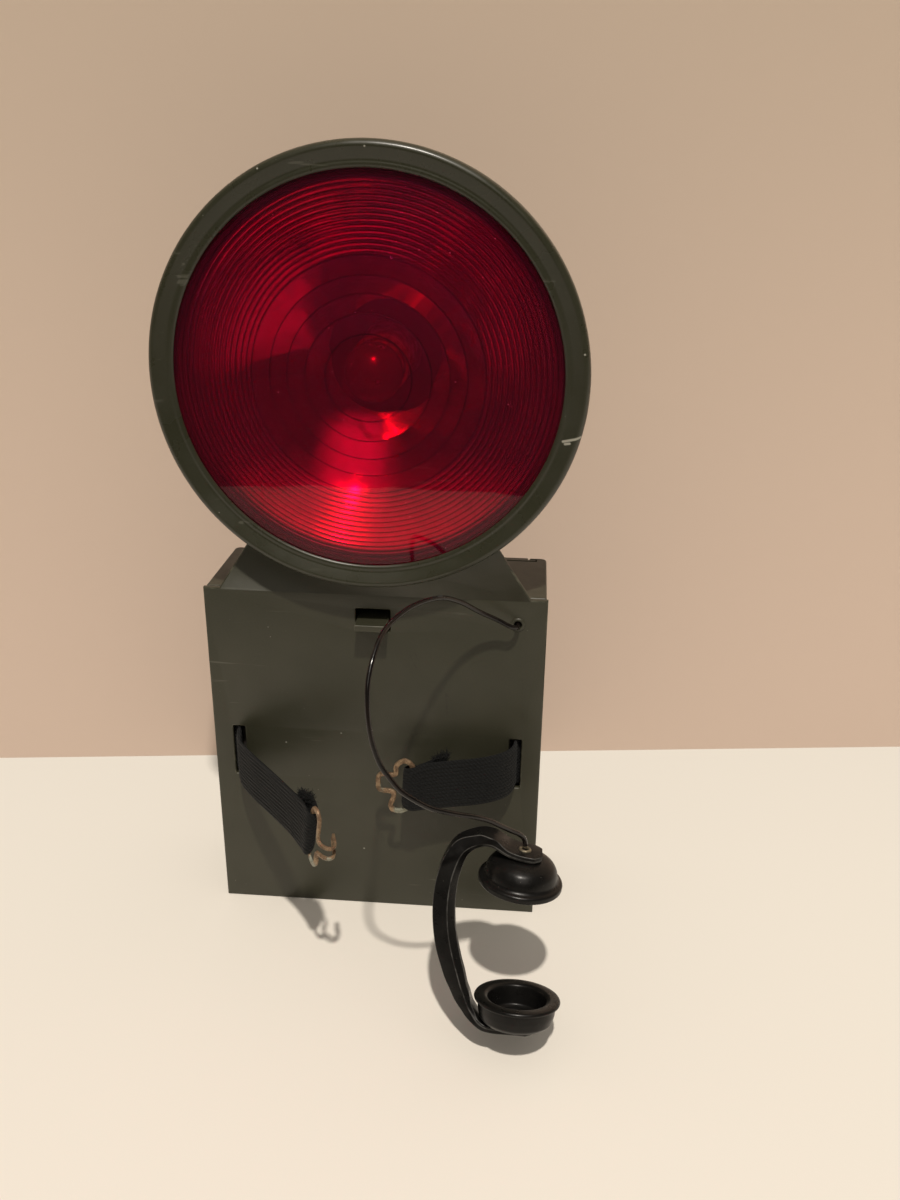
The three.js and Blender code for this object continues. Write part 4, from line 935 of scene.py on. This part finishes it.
BOWL_FLANGE = 3
BOWL_WALL = 0.6
BOWL_HOLE_SHARE = 0.288
SHELL_SHARES = [(1, 0), (0.995, 0.17), (0.946, 0.41), (0.842, 0.65), (0.674, 0.86), (0.466, 0.98), (0.34, 1)]
SHELL_WALL = 1
LEAD_DUCT = 6


def make_reflector():
    """A bowl whose section is a parabola, with a flat flange."""
    flange = (bowl_high.x - bowl_low.x) / 2
    radius = flange - BOWL_FLANGE * MM
    wall = BOWL_WALL * MM
    start = bowl_low.y
    depth = bowl_high.y - start - wall
    inner = []
    for step in range(41):
        share = 1 + (BOWL_HOLE_SHARE - 1) * step / 40
        fall = (1 - share ** 2) / (1 - BOWL_HOLE_SHARE ** 2)
        inner.append((radius * share, start + depth * fall))
    outer = [(a + wall, b + wall) for a, b in inner]
    profile = [(flange, start + wall), (flange, start)] + inner + list(reversed(outer))
    bowl = lathe("reflector_bowl", profile, closed=True, sharp=40)
    dress(bowl, mirror_metal(), "case", ["reflector"])


def make_shell():
    """The head's domed back, with an opening below for the two inner leads."""
    radius = (shell_high.x - shell_low.x) / 2
    start = shell_low.y
    depth = shell_high.y - start
    curve = spline_points([Vector((radius * a, start + depth * b, 0)) for a, b in SHELL_SHARES], 48)
    outer = [(point.x, point.y) for point in curve]
    wall = SHELL_WALL * MM
    inner = [(a - wall, b - wall * (b - start) / depth) for a, b in outer]
    profile = [(0, outer[-1][1])] + list(reversed(outer)) + inner + [(0, inner[-1][1])]
    shell = lathe("head_shell_moulding", profile, sharp=40)
    bm = bmesh.new()
    bmesh.ops.create_cube(bm, size=1)
    low = Vector((-LEAD_DUCT * MM, FRONT + 6 * MM, HEAD_Z - radius - 2 * MM))
    high = Vector((LEAD_DUCT * MM, FRONT + 13.5 * MM, HEAD_Z - radius * 0.62))
    for vert in bm.verts:
        vert.co = Vector([low[i] if vert.co[i] < 0 else high[i] for i in range(3)])
    cutter_mesh = mesh_of("lead_opening", bm)
    cutter = new_object("lead_opening", cutter_mesh)
    cut = shell.modifiers.new("opening", "BOOLEAN")
    cut.object = cutter
    cut.operation = "DIFFERENCE"
    bpy.context.view_layer.update()
    evaluated = shell.evaluated_get(bpy.context.evaluated_depsgraph_get())
    mesh = bpy.data.meshes.new_from_object(evaluated)
    shell.modifiers.clear()
    shell.data = mesh
    bpy.data.objects.remove(cutter)
    bpy.data.meshes.remove(cutter_mesh)
    mesh.shade_smooth()
    mesh.set_sharp_from_angle(angle=math.radians(40))
    dress(shell, case_skin, "case", ["head_shell"])


steel = plain_steel()
brass = old_brass()
board = dark_board()


BULB_NECK = 4.25
BULB_WALL = 0.45
CAP_TURNS = 5
CAP_PITCH = 1.15


def make_bulb():
    low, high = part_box("bulb_glass")
    radius = (high.x - low.x) / 2
    neck = BULB_NECK * MM
    wall = BULB_WALL * MM
    outer = []
    for step in range(13):
        angle = step / 12 * math.pi * 0.62
        outer.append((radius * math.sin(angle), low.y + radius - radius * math.cos(angle)))
    outer += [(neck, high.y - 1.5 * MM), (neck, high.y)]
    inner = [(max(a - wall, 0), b + wall if a < 1e-6 else b + 0.2 * MM) for a, b in outer[:-1]]
    inner.append((neck - wall, high.y))
    bulb = lathe("bulb_glass_blown", outer + list(reversed(inner)), sides=48, sharp=60)
    dress(bulb, clear_glass(), "case", ["bulb_glass"])
    low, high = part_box("bulb_base")
    radius = (high.x - low.x) / 2
    crest = radius - 0.05 * MM
    profile = [(0, low.y), (radius, low.y)]
    for turn in range(CAP_TURNS + 1):
        y = low.y + (1.2 + turn * CAP_PITCH) * MM
        profile += [(crest, y), (crest - 0.3 * MM, y + CAP_PITCH * 0.5 * MM)]
    profile[-1] = (1.6 * MM, high.y)
    profile.append((0, high.y))
    base = lathe("bulb_screw_cap", rounded(profile, 0.15, 2), sides=48, sharp=50)
    dress(base, brass, "case", ["bulb_base"])


make_bezel()
make_lens()
make_reflector()
make_shell()
make_bulb()

# Straps: ribbed elastic from the bar inside, through the slot, to the clasp and round its wire
STRAP_WIDTH = 11.2
STRAP_THICKNESS = 0.8
STRAP_RIBS = 13
RIB_STEPS = 6
STRAP_RINGS = 190
FOLD_TAPER = 6
FOLD_THINNER = 0.35
LEAN_REACH = 9
# The tail inside the case: away from the slot's middle and behind the plate's front
TAIL_ROUTE = [(3.3, 1.85), (1.58, 1.85), (0.69, 1.65), (0.1, 0.8), (0.0, 0.1)]
# across, out and droop place the wire from the slot, and turn is the clasp's heading in degrees.
# lift is how far the part that is folded back rises, and back is its length.
# slack is the fold's reach beyond the wire, loop its half width, narrow its loss of width and shear its lean.
# lean and slim are the clasp's: its lean, and how much slimmer its wire is half way.
# worn is how many rings and threads the fray has, and shares is the route in plan.
LEFT = {
    "side": -1, "across": 19.6, "out": 23.5, "droop": 3.1, "turn": -57, "lift": (2.8, 0.7), "back": 5.6,
    "slack": 0.63, "lean": 0.11, "shear": 0.13, "narrow": 0.2, "slim": 0.42, "loop": 0.86,
    "worn": (17, 900),
    "shares": [(0, 0), (0.053, 0.17), (0.223, 0.349), (0.466, 0.545), (0.733, 0.766), (1, 1)],
}
RIGHT = {
    "side": 1, "across": 20.45, "out": 6.6, "droop": 2.7, "turn": 180, "lift": (-1.2, 2.1), "back": 7.0,
    "slack": 1.65, "lean": 0.1, "shear": 0.05, "narrow": 0.2, "slim": 0, "loop": 1.12,
    "worn": (12, 420),
    "shares": [(0, 0), (0.04, 0.39), (0.13, 0.67), (0.33, 0.89), (0.67, 0.97), (1, 1)],
}
web = elastic_web()


def strap_section(thickness, width):
    """Points round a ribbed band's section: across the width and through the thickness."""
    steps = STRAP_RIBS * RIB_STEPS
    near = []
    for step in range(steps + 1):
        share = step / steps
        rib = 0.62 + 0.38 * abs(math.sin(math.pi * STRAP_RIBS * share))
        border = min(1, 6 * min(share, 1 - share) + 0.45)
        near.append(((share - 0.5) * width, thickness / 2 * rib * border))
    return near + [(across, -through) for across, through in reversed(near)]


def strap_route(strap):
    """Points along the strap's middle in plan, with the wire's place and the strap's heading there."""
    side = strap["side"]
    loop = strap["loop"]
    route = [Vector((side * (SLOT_X + away), FRONT_MM + depth, 0)) for away, depth in TAIL_ROUTE]
    for along, away in strap["shares"]:
        x = side * (SLOT_X - strap["across"] * along)
        route.append(Vector((x, FRONT_MM - 0.2 - (strap["out"] - 0.2) * away, 0)))
    end = route.pop()
    ahead = (end - route[-1]).normalized()
    wire = end + ahead * 0.85
    inward = Vector((-ahead.y, ahead.x, 0))
    if inward.y < 0:
        inward = -inward
    # The band passes in front of the wire, turns round it and comes back on the plate's side
    route += [end - ahead * 1.6 - inward * 0.35, wire - inward * loop - ahead * 0.3]
    for step in range(1, 9):
        angle = math.pi * step / 8
        route.append(wire - inward * (loop * math.cos(angle)) + ahead * (strap["slack"] * math.sin(angle)))
    for step in range(1, 5):
        share = step / 4
        route.append(wire + inward * (loop - 0.2 * share) - ahead * (strap["back"] * share))
    return route, wire, ahead


def mark_ribs(band, count):
    """Marks the crest of each rib, and more strongly the top border for a painted highlight, so that the
    material can make them paler.
    """
    layer = band.data.attributes.new("edge", "FLOAT", "CORNER")
    steps = STRAP_RIBS * RIB_STEPS
    for face in band.data.polygons:
        if len(face.vertices) > 4:
            continue
        places = [vertex % count for vertex in face.vertices]
        place = min(places)
        if place == 0 and max(places) > count - 2:
            place = count - 1
        if place > steps:
            place = count - 1 - place
        paler = 1.1 if place % RIB_STEPS in (2, 3) else 0
        # The top border gets the stronger mark: a painted highlight along it
        if place >= steps - 2:
            paler = 1.7
        for corner in face.loop_indices:
            layer.data[corner].value = paler


def make_strap(strap, node, tail, name):
    side = strap["side"]
    route, wire, ahead = strap_route(strap)
    points = spline_points(route, STRAP_RINGS)
    lengths = lengths_along(points)
    fold = wire + ahead * strap["slack"]
    fold_length = lengths[min(range(len(points)), key=lambda i: (points[i] - fold).length)]
    first_lift, last_lift = strap["lift"]
    rings = []
    for index, point in enumerate(points):
        tangent = direction_at(points, index)
        normal = Vector((-tangent.y, tangent.x, 0))
        fall = -strap["droop"] * max(0, min(1, (SLOT_X - side * point.x) / strap["across"]))
        before = fold_length - lengths[index]
        if before > 0:
            width = STRAP_WIDTH * (1 - strap["narrow"] * max(0, 1 - before / FOLD_TAPER) ** 2)
            lift = 0
        else:
            share = -before / (lengths[-1] - fold_length)
            width = STRAP_WIDTH * (1 - strap["narrow"] + 0.04 * share)
            lift = first_lift * min(1, share * 3) + (last_lift - first_lift) * share
        thickness = STRAP_THICKNESS * (1 - FOLD_THINNER * max(0, 1 - max(before, 0) / 3))
        lean = strap["shear"] * max(0, min(1, 1 - before / LEAN_REACH))
        ring = []
        for across, through in strap_section(thickness, width):
            place = point + normal * through
            rise = across + lift
            ring.append(mm(place.x + lean * rise, place.y, SLOT_MIDDLE + fall + rise))
        rings.append(ring)
    band = loft(name, rings, 60)
    mark_ribs(band, len(rings[0]))
    worn_rings, worn_threads = strap["worn"]
    end_heading = (rings[-1][0] - rings[-2][0]).normalized()
    band = join(name, [band, fray(rings[-worn_rings:], end_heading, worn_threads, side)])
    band.data.materials.append(web)
    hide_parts(node, tail)
    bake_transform(band)
    return wire


THREAD_RADIUS = 0.09 * MM
THREAD_STEPS = 4


def fray(end_rings, ahead, count, seed):
    """Loose thread ends at the cut end and the top border of the folded band."""
    random.seed(31 + seed)
    last = len(end_rings[0]) // 2 - 1
    bm = bmesh.new()
    for number in range(count):
        place = random.random()
        ring = end_rings[-1]
        if random.random() < 0.6:
            place = 1 - 0.12 * place
            ring = random.choice(end_rings)
        near = ring[int(place * last)]
        far = ring[len(ring) - 1 - int(place * last)]
        base = near.lerp(far, random.random()) - ahead * 0.3 * MM
        upward = UP * (1.1 if place > 0.75 else 0.25) * random.random()
        heading = (ahead * random.uniform(0.0, 0.8) + upward + Vector(
            (random.uniform(-0.8, 0.8), random.uniform(-0.6, 0.7), random.uniform(-0.4, 0.5))
        )).normalized()
        length = random.uniform(0.4, 1.7) * MM
        bend = Vector([random.uniform(-0.5, 0.5) for axis in range(3)])
        across, other = side_axes(heading)
        rings = []
        for step in range(THREAD_STEPS + 1):
            share = step / THREAD_STEPS
            point = base + heading * length * share + bend * length * share * share * 0.5
            rings.append(ring_of(bm, point, across, other, THREAD_RADIUS * (1 - 0.6 * share), 4))
        skin_over(bm, rings)
    return finish_mesh("frayed_threads", bm, 60)


CLASP_HEIGHT = 13.4
CLASP_SCALE = 11.6
# Places along the wire, as shares: away from the strap and sideways of the scale, and up of the height
EYE_SHARES = [(away, 0, up) for away, up in [
    (0, 0.03), (0, 0.2), (0.005, 0.33), (0.08, 0.425), (0.18, 0.455), (0.27, 0.41), (0.315, 0.33),
    (0.3, 0.26), (0.325, 0.205), (0.41, 0.195), (0.5, 0.212), (0.58, 0.195), (0.612, 0.12), (0.6, 0.02),
    (0.58, -0.06), (0.5, -0.09), (0.4, -0.095), (0.32, -0.115), (0.295, -0.17), (0.315, -0.26),
    (0.34, -0.35), (0.29, -0.43), (0.19, -0.455), (0.08, -0.43), (0.005, -0.34), (0, -0.2), (0, -0.03),
]]
HOOK_SHARES = [
    (0, 0, 0.03), (0, 0, 0.2), (0.005, 0, 0.35), (0.08, 0, 0.44), (0.2, 0, 0.445), (0.29, 0, 0.37),
    (0.3, 0, 0.22), (0.3, 0, 0.09), (0.335, 0, 0.015), (0.43, 0.012, 0), (0.525, 0.045, 0),
    (0.585, 0.1, 0), (0.57, 0.18, 0), (0.465, 0.24, 0), (0.335, 0.275, 0), (0.235, 0.31, -0.01),
    (0.2, 0.32, -0.085), (0.235, 0.31, -0.16), (0.335, 0.275, -0.17), (0.465, 0.24, -0.17),
    (0.57, 0.18, -0.17), (0.585, 0.1, -0.17), (0.525, 0.045, -0.17), (0.43, 0.012, -0.17),
    (0.335, 0, -0.185), (0.3, 0, -0.26), (0.3, 0, -0.36), (0.22, 0, -0.44), (0.1, 0, -0.44),
    (0.01, 0, -0.37), (0, 0, -0.2), (0, 0, -0.03),
]


def make_clasp(strap, shares, wire, body, node, name):
    turn = Matrix.Rotation(math.radians(strap["turn"]), 3, "Z")
    centre = wire + UP * (SLOT_MIDDLE - strap["droop"])
    points = []
    for along, aside, up in shares:
        local = turn @ Vector((along * CLASP_SCALE, aside * CLASP_SCALE, up * CLASP_HEIGHT))
        points.append((centre + local + SIDEWAYS * strap["lean"] * local.z) * MM)
    clasp = strip(name, spline_points(points, 220), turn @ INTO, strap["slim"])
    dress(clasp, brass, body, [node])


left_wire = make_strap(LEFT, "strap_left", "strap_tail_left", "strap_left_web")
right_wire = make_strap(RIGHT, "strap_right", "strap_tail_right", "strap_right_web")
make_clasp(LEFT, HOOK_SHARES, left_wire, "clasp_left", "strap_clasp_left", "clasp_left_wire")
make_clasp(RIGHT, EYE_SHARES, right_wire, "clasp_right", "strap_clasp_right", "clasp_right_wire")

# Handset
handset_skin = handset_plastic()


def leaning(lean, tilt):
    lean = math.radians(lean)
    tilt = math.radians(tilt)
    return Vector((math.sin(tilt) * math.cos(lean), math.sin(lean), math.cos(tilt) * math.cos(lean)))


EAR_AXIS = leaning(8, 6)
MOUTH_AXIS = leaning(20, 2)
EAR = mm(31.6, FRONT_MM - 26, 27.8)
MOUTH = mm(32, FRONT_MM - 38.3, 11.3)
EAR_TONGUE = EAR + EAR_AXIS * 6.55 * MM
MOUTH_TONGUE = MOUTH - MOUTH_AXIS * 5.85 * MM
HANDLE_OUT = 14.8 * MM
TONGUE_REACH = 3.4 * MM
TONGUE_SIZE = (1.1, 4.0)
GRIP_SIZE = (4.3, 6.0)
SPAN_STEPS = 8
# Stations of the handle: along it and out to the left as shares, then how thick and how wide it is, 0 to 1
HANDLE_SHARES = [
    (-0.024, 0.2, 0, 1), (-0.073, 0.42, 0.25, 0.75), (-0.068, 0.62, 0.5, 0.35), (-0.007, 0.83, 0.8, 0.1),
    (0.127, 0.953, 0.95, 0), (0.28, 1, 1, 0), (0.426, 0.986, 1, 0), (0.562, 0.93, 1, 0),
    (0.7, 0.83, 0.9, 0.05), (0.82, 0.72, 0.65, 0.15), (0.915, 0.6, 0.3, 0.4),
    (0.98, 0.46, 0.05, 0.8), (1, 0.3, 0, 1),
]


def tongue_end(centre, axis):
    level = (SIDEWAYS - axis * axis.x).normalized()
    return centre + level * TONGUE_REACH


def eased(t):
    return t * t * (3 - 2 * t)


def make_handle():
    chord = MOUTH_TONGUE - EAR_TONGUE
    unit = chord.normalized()
    left = (unit * unit.x - SIDEWAYS).normalized()
    stations = [(tongue_end(EAR_TONGUE, EAR_AXIS), 0, 1), (EAR_TONGUE, 0, 1)]
    for along, out, thick, wide in HANDLE_SHARES:
        stations.append((EAR_TONGUE + chord * along + left * HANDLE_OUT * out, thick, wide))
    stations += [(MOUTH_TONGUE, 0, 1), (tongue_end(MOUTH_TONGUE, MOUTH_AXIS), 0, 1)]
    ear_width = EAR_AXIS.cross(left).normalized()
    mouth_width = MOUTH_AXIS.cross(left).normalized()
    places = [station[0] for station in stations]
    spans = len(places) - 1
    line = []
    sizes = []
    for index in range(spans):
        a = places[max(index - 1, 0)]
        b = places[index]
        c = places[index + 1]
        d = places[min(index + 2, spans)]
        for step in range(SPAN_STEPS):
            t = step / SPAN_STEPS
            line.append(0.5 * (
                2 * b + (c - a) * t + (2 * a - 5 * b + 4 * c - d) * t ** 2 + (3 * b - a - 3 * c + d) * t ** 3
            ))
            share = eased(t)
            sizes.append([stations[index][k] * (1 - share) + stations[index + 1][k] * share for k in (1, 2)])
    line.append(places[-1])
    sizes.append((0, 1))
    last = len(line) - 1
    rings = []
    for index, (point, (thick, wide)) in enumerate(zip(line, sizes)):
        tangent = direction_at(line, index)
        t = max(0, min(1, (index / last - 0.2) / 0.6))
        hint = ear_width.lerp(mouth_width, eased(t)).normalized()
        across = (hint - tangent * hint.dot(tangent)).normalized()
        out = across.cross(tangent)
        x = (TONGUE_SIZE[0] + (GRIP_SIZE[0] - TONGUE_SIZE[0]) * thick) / 2 * MM
        y = (TONGUE_SIZE[1] + (GRIP_SIZE[1] - TONGUE_SIZE[1]) * wide) / 2 * MM
        # A tongue's end has its corners cut off
        end = min(index, last - index) / SPAN_STEPS
        if end < 0.5:
            y *= 0.55 + 0.9 * end
        # The grip has six sides: its front and back are folded along a ridge nearer to the cups
        broad = y * (1 - 0.42 * thick)
        narrow = y * (1 - 0.6 * thick)
        corners = [(-x, broad), (x * 0.35, y), (x, narrow), (x, -narrow), (x * 0.35, -y), (-x, -broad)]
        rings.append([point + out * u + across * v for u, v in rounded(corners, 0.13, 3, closed=True)])
    # The marked corners are paler: wear and a painted highlight
    handle = loft("handset_handle_moulding", rings, 30, arc=4)
    dress(handle, handset_skin, "handset", ["handset_handle"])


def make_cups():
    ear = mm_profile([
        (6.1, 0.0), (7.95, 0.0), (8.2, 0.3), (8.2, 1.1), (7.95, 1.4), (7.5, 1.55), (7.1, 1.95), (7.0, 2.7),
        (6.75, 3.6), (6.1, 4.6), (5.0, 5.35), (3.8, 5.7), (1.25, 5.7), (1.25, 4.8), (3.3, 4.8), (5.2, 3.6),
        (5.9, 2.4),
    ], 0.5, closed=True)
    piece = lathe("earpiece_moulding", ear, EAR, EAR_AXIS, 96, closed=True, sharp=60)
    dress(piece, handset_skin, "handset", ["earpiece"])
    mouth = mm_profile([
        (0, -5), (4.9, -5), (6.3, -4.75), (7.0, -4.0), (7.3, -2.6), (7.4, -1.0), (7.55, -0.85), (8.1, -0.75),
        (8.2, -0.45), (8.0, -0.1), (7.3, 0.0), (6.2, -0.05), (5.6, -0.35), (5.5, -1.2), (5.3, -3.9),
        (4.6, -4.4), (0, -4.4),
    ], 0.28)
    piece = lathe("mouthpiece_moulding", mouth, MOUTH, MOUTH_AXIS, 96, sharp=60)
    dress(piece, handset_skin, "handset", ["mouthpiece"])


def make_eyelet():
    profile = mm_profile([
        (0.62, -1.0), (0.62, 0.1), (0.75, 0.3), (1.0, 0.34), (1.22, 0.2), (1.28, -0.12), (0.95, -0.12),
        (0.95, -1.0),
    ], 0.1, 2, closed=True)
    top = EAR_TONGUE + EAR_AXIS * 0.62 * MM
    ring = lathe("ear_eyelet_ring", profile, top, EAR_AXIS, 48, closed=True, sharp=60)
    dress(ring, dull_brass(), "handset", ["ear_eyelet"])


make_handle()
make_cups()
make_eyelet()


def make_spring():
    """The key's spring, which is pressed together between the case and the key."""
    spring = new_object("key_spring_wire", nodes["key_spring"].data.copy())
    dress(spring, steel, replaced=["key_spring"])
    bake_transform(spring)


make_spring()

# The peg under the mouthpiece and the other small solids keep their own shape
KEPT_NODES = [
    (handset_skin, ["mouth_rivet"]),
    (lead_skin, ["lead_knot", "lamp_lead_live", "lamp_lead_return"]),
    (board, ["holder_insulator"]),
    (battery_paper(), ["battery_case"]),
    (steel, [
        "housing_screw_left", "housing_screw_right", "bulb_filament", "bulb_tip_contact", "key_pin",
        "strap_bar_left", "strap_bar_right",
    ]),
    (brass, [
        "bulb_holder", "holder_contact", "key_bridge", "contact_battery_side", "contact_lamp_side",
        "battery_strip_long", "battery_strip_short",
    ]),
]
for material, kept in KEPT_NODES:
    for node in kept:
        nodes[node].data.materials.clear()
        nodes[node].data.materials.append(material)

# Floor, backdrop and light
TABLE_EDGE = -0.345
TABLE_COLOUR = rgba(0.84, 0.795, 0.72)
TABLE_DARK = rgba(0.05, 0.038, 0.03)
WALL_COLOUR = rgba(0.655, 0.52, 0.432)
# The wall's top colour is painted shade
WALL_TOP_SHADE_COLOUR = rgba(0.43, 0.352, 0.276)
LAMP_TOWARD = Vector((-0.18, 1, -2.0)).normalized()
LAMP_DISTANCE = 1.5
LAMP_POWER = 18.2
ROOM_STRENGTH = 0.38
MIRRORED_STRENGTH = 0.045
WINDOW_STRENGTH = 1.6


def mirrored_ray(r):
    paths = r.node("LightPath").outputs
    return r.math("MAXIMUM", paths["Is Glossy Ray"], paths["Is Transmission Ray"])


def flat_quad(name, corners, material):
    bm = bmesh.new()
    bm.faces.new([bm.verts.new(corner) for corner in corners])
    piece = new_object(name, mesh_of(name, bm))
    piece.data.materials.append(material)
    return piece


def make_table():
    """A pale floor that ends toward the viewer, with painted shade darkening it nearer the viewer, in what the
    part mirrors.
    """
    r = new_recipe("table_pale")
    depth = r.height("Y")
    # Dark past the table's edge, and painted shade darkening the table nearer the viewer
    beyond = r.math("MAXIMUM", r.math("LESS_THAN", depth, TABLE_EDGE), r.ramp(depth, -0.3, -0.06, 0.6, 0))
    pale = r.node("BsdfDiffuse", Color=TABLE_COLOUR)
    dark = r.node("BsdfDiffuse", Color=TABLE_DARK)
    surface = r.node("MixShader", i0=r.times(beyond, mirrored_ray(r)), i1=pale, i2=dark)
    flat_quad("table", [(-3, -3, 0), (3, -3, 0), (3, 3, 0), (-3, 3, 0)], r.finish(surface))


def make_wall():
    """A pale backdrop with painted shade darkening it toward its top, that is only seen from its front."""
    r = new_recipe("wall_pale")
    # Painted shade: the wall's colour darkens toward its top
    pale = r.node("BsdfDiffuse", Color=r.mix(r.ramp(r.height(), 0.0, 0.3), WALL_COLOUR, WALL_TOP_SHADE_COLOUR))
    away = r.node("NewGeometry").outputs["Backfacing"]
    surface = r.node("MixShader", i0=away, i1=pale, i2=r.node("BsdfTransparent"))
    near = mm(-98.4, 42.1, 0)
    far = mm(129.9, 70.8, 0)
    along = (far - near).normalized() * 2
    left = near - along
    right = far + along
    wall = flat_quad("wall", [left, right, right + UP * 2, left + UP * 2], r.finish(surface))
    wall.visible_diffuse = False
    wall.visible_shadow = False


def make_lamp():
    data = bpy.data.lights.new("room_lamp", "AREA")
    data.shape = "DISK"
    data.size = 0.055
    data.energy = LAMP_POWER
    data.color = (1, 0.93, 0.84)
    lamp = new_object("room_lamp", data)
    lamp.location = mm(0, -10, 60) - LAMP_TOWARD * LAMP_DISTANCE
    lamp.rotation_euler = LAMP_TOWARD.to_track_quat("-Z", "Y").to_euler()


def make_world():
    """Even room light; what the part mirrors is a dim room with one tall window behind the viewer."""
    world = bpy.data.worlds.new("room")
    r = Recipe(world, "OutputWorld", "Generated")
    parts = r.node("SeparateXYZ", Vector=r.place).outputs
    aside = r.math("ABSOLUTE", r.math("SUBTRACT", parts["X"], 0.1))
    behind = r.node("MapRange", i0=parts["Y"], i1=0.1, i2=-0.1, i3=0, i4=1)
    window = r.times(r.ramp(aside, 0.1, 0.42, 1, 0), r.ramp(parts["Z"], 0.3, 0.55, 0, WINDOW_STRENGTH))
    strength = r.node("Math", {"operation": "MULTIPLY_ADD"}, i0=window, i1=behind, i2=MIRRORED_STRENGTH)
    room = r.node("Background", Color=rgba(1, 0.92, 0.83), Strength=ROOM_STRENGTH)
    mirrored = r.node("Background", Color=rgba(1, 0.9, 0.8), Strength=strength)
    seen = r.node("Background", Color=rgba(0.6, 0.48, 0.39), Strength=1)
    lit = r.node("MixShader", i0=mirrored_ray(r), i1=room, i2=mirrored)
    camera_ray = r.node("LightPath").outputs["Is Camera Ray"]
    r.finish(r.node("MixShader", i0=camera_ray, i1=lit, i2=seen))
    bpy.context.scene.world = world


make_table()
make_wall()
make_lamp()
make_world()
bpy.context.scene.view_settings.view_transform = "Standard"
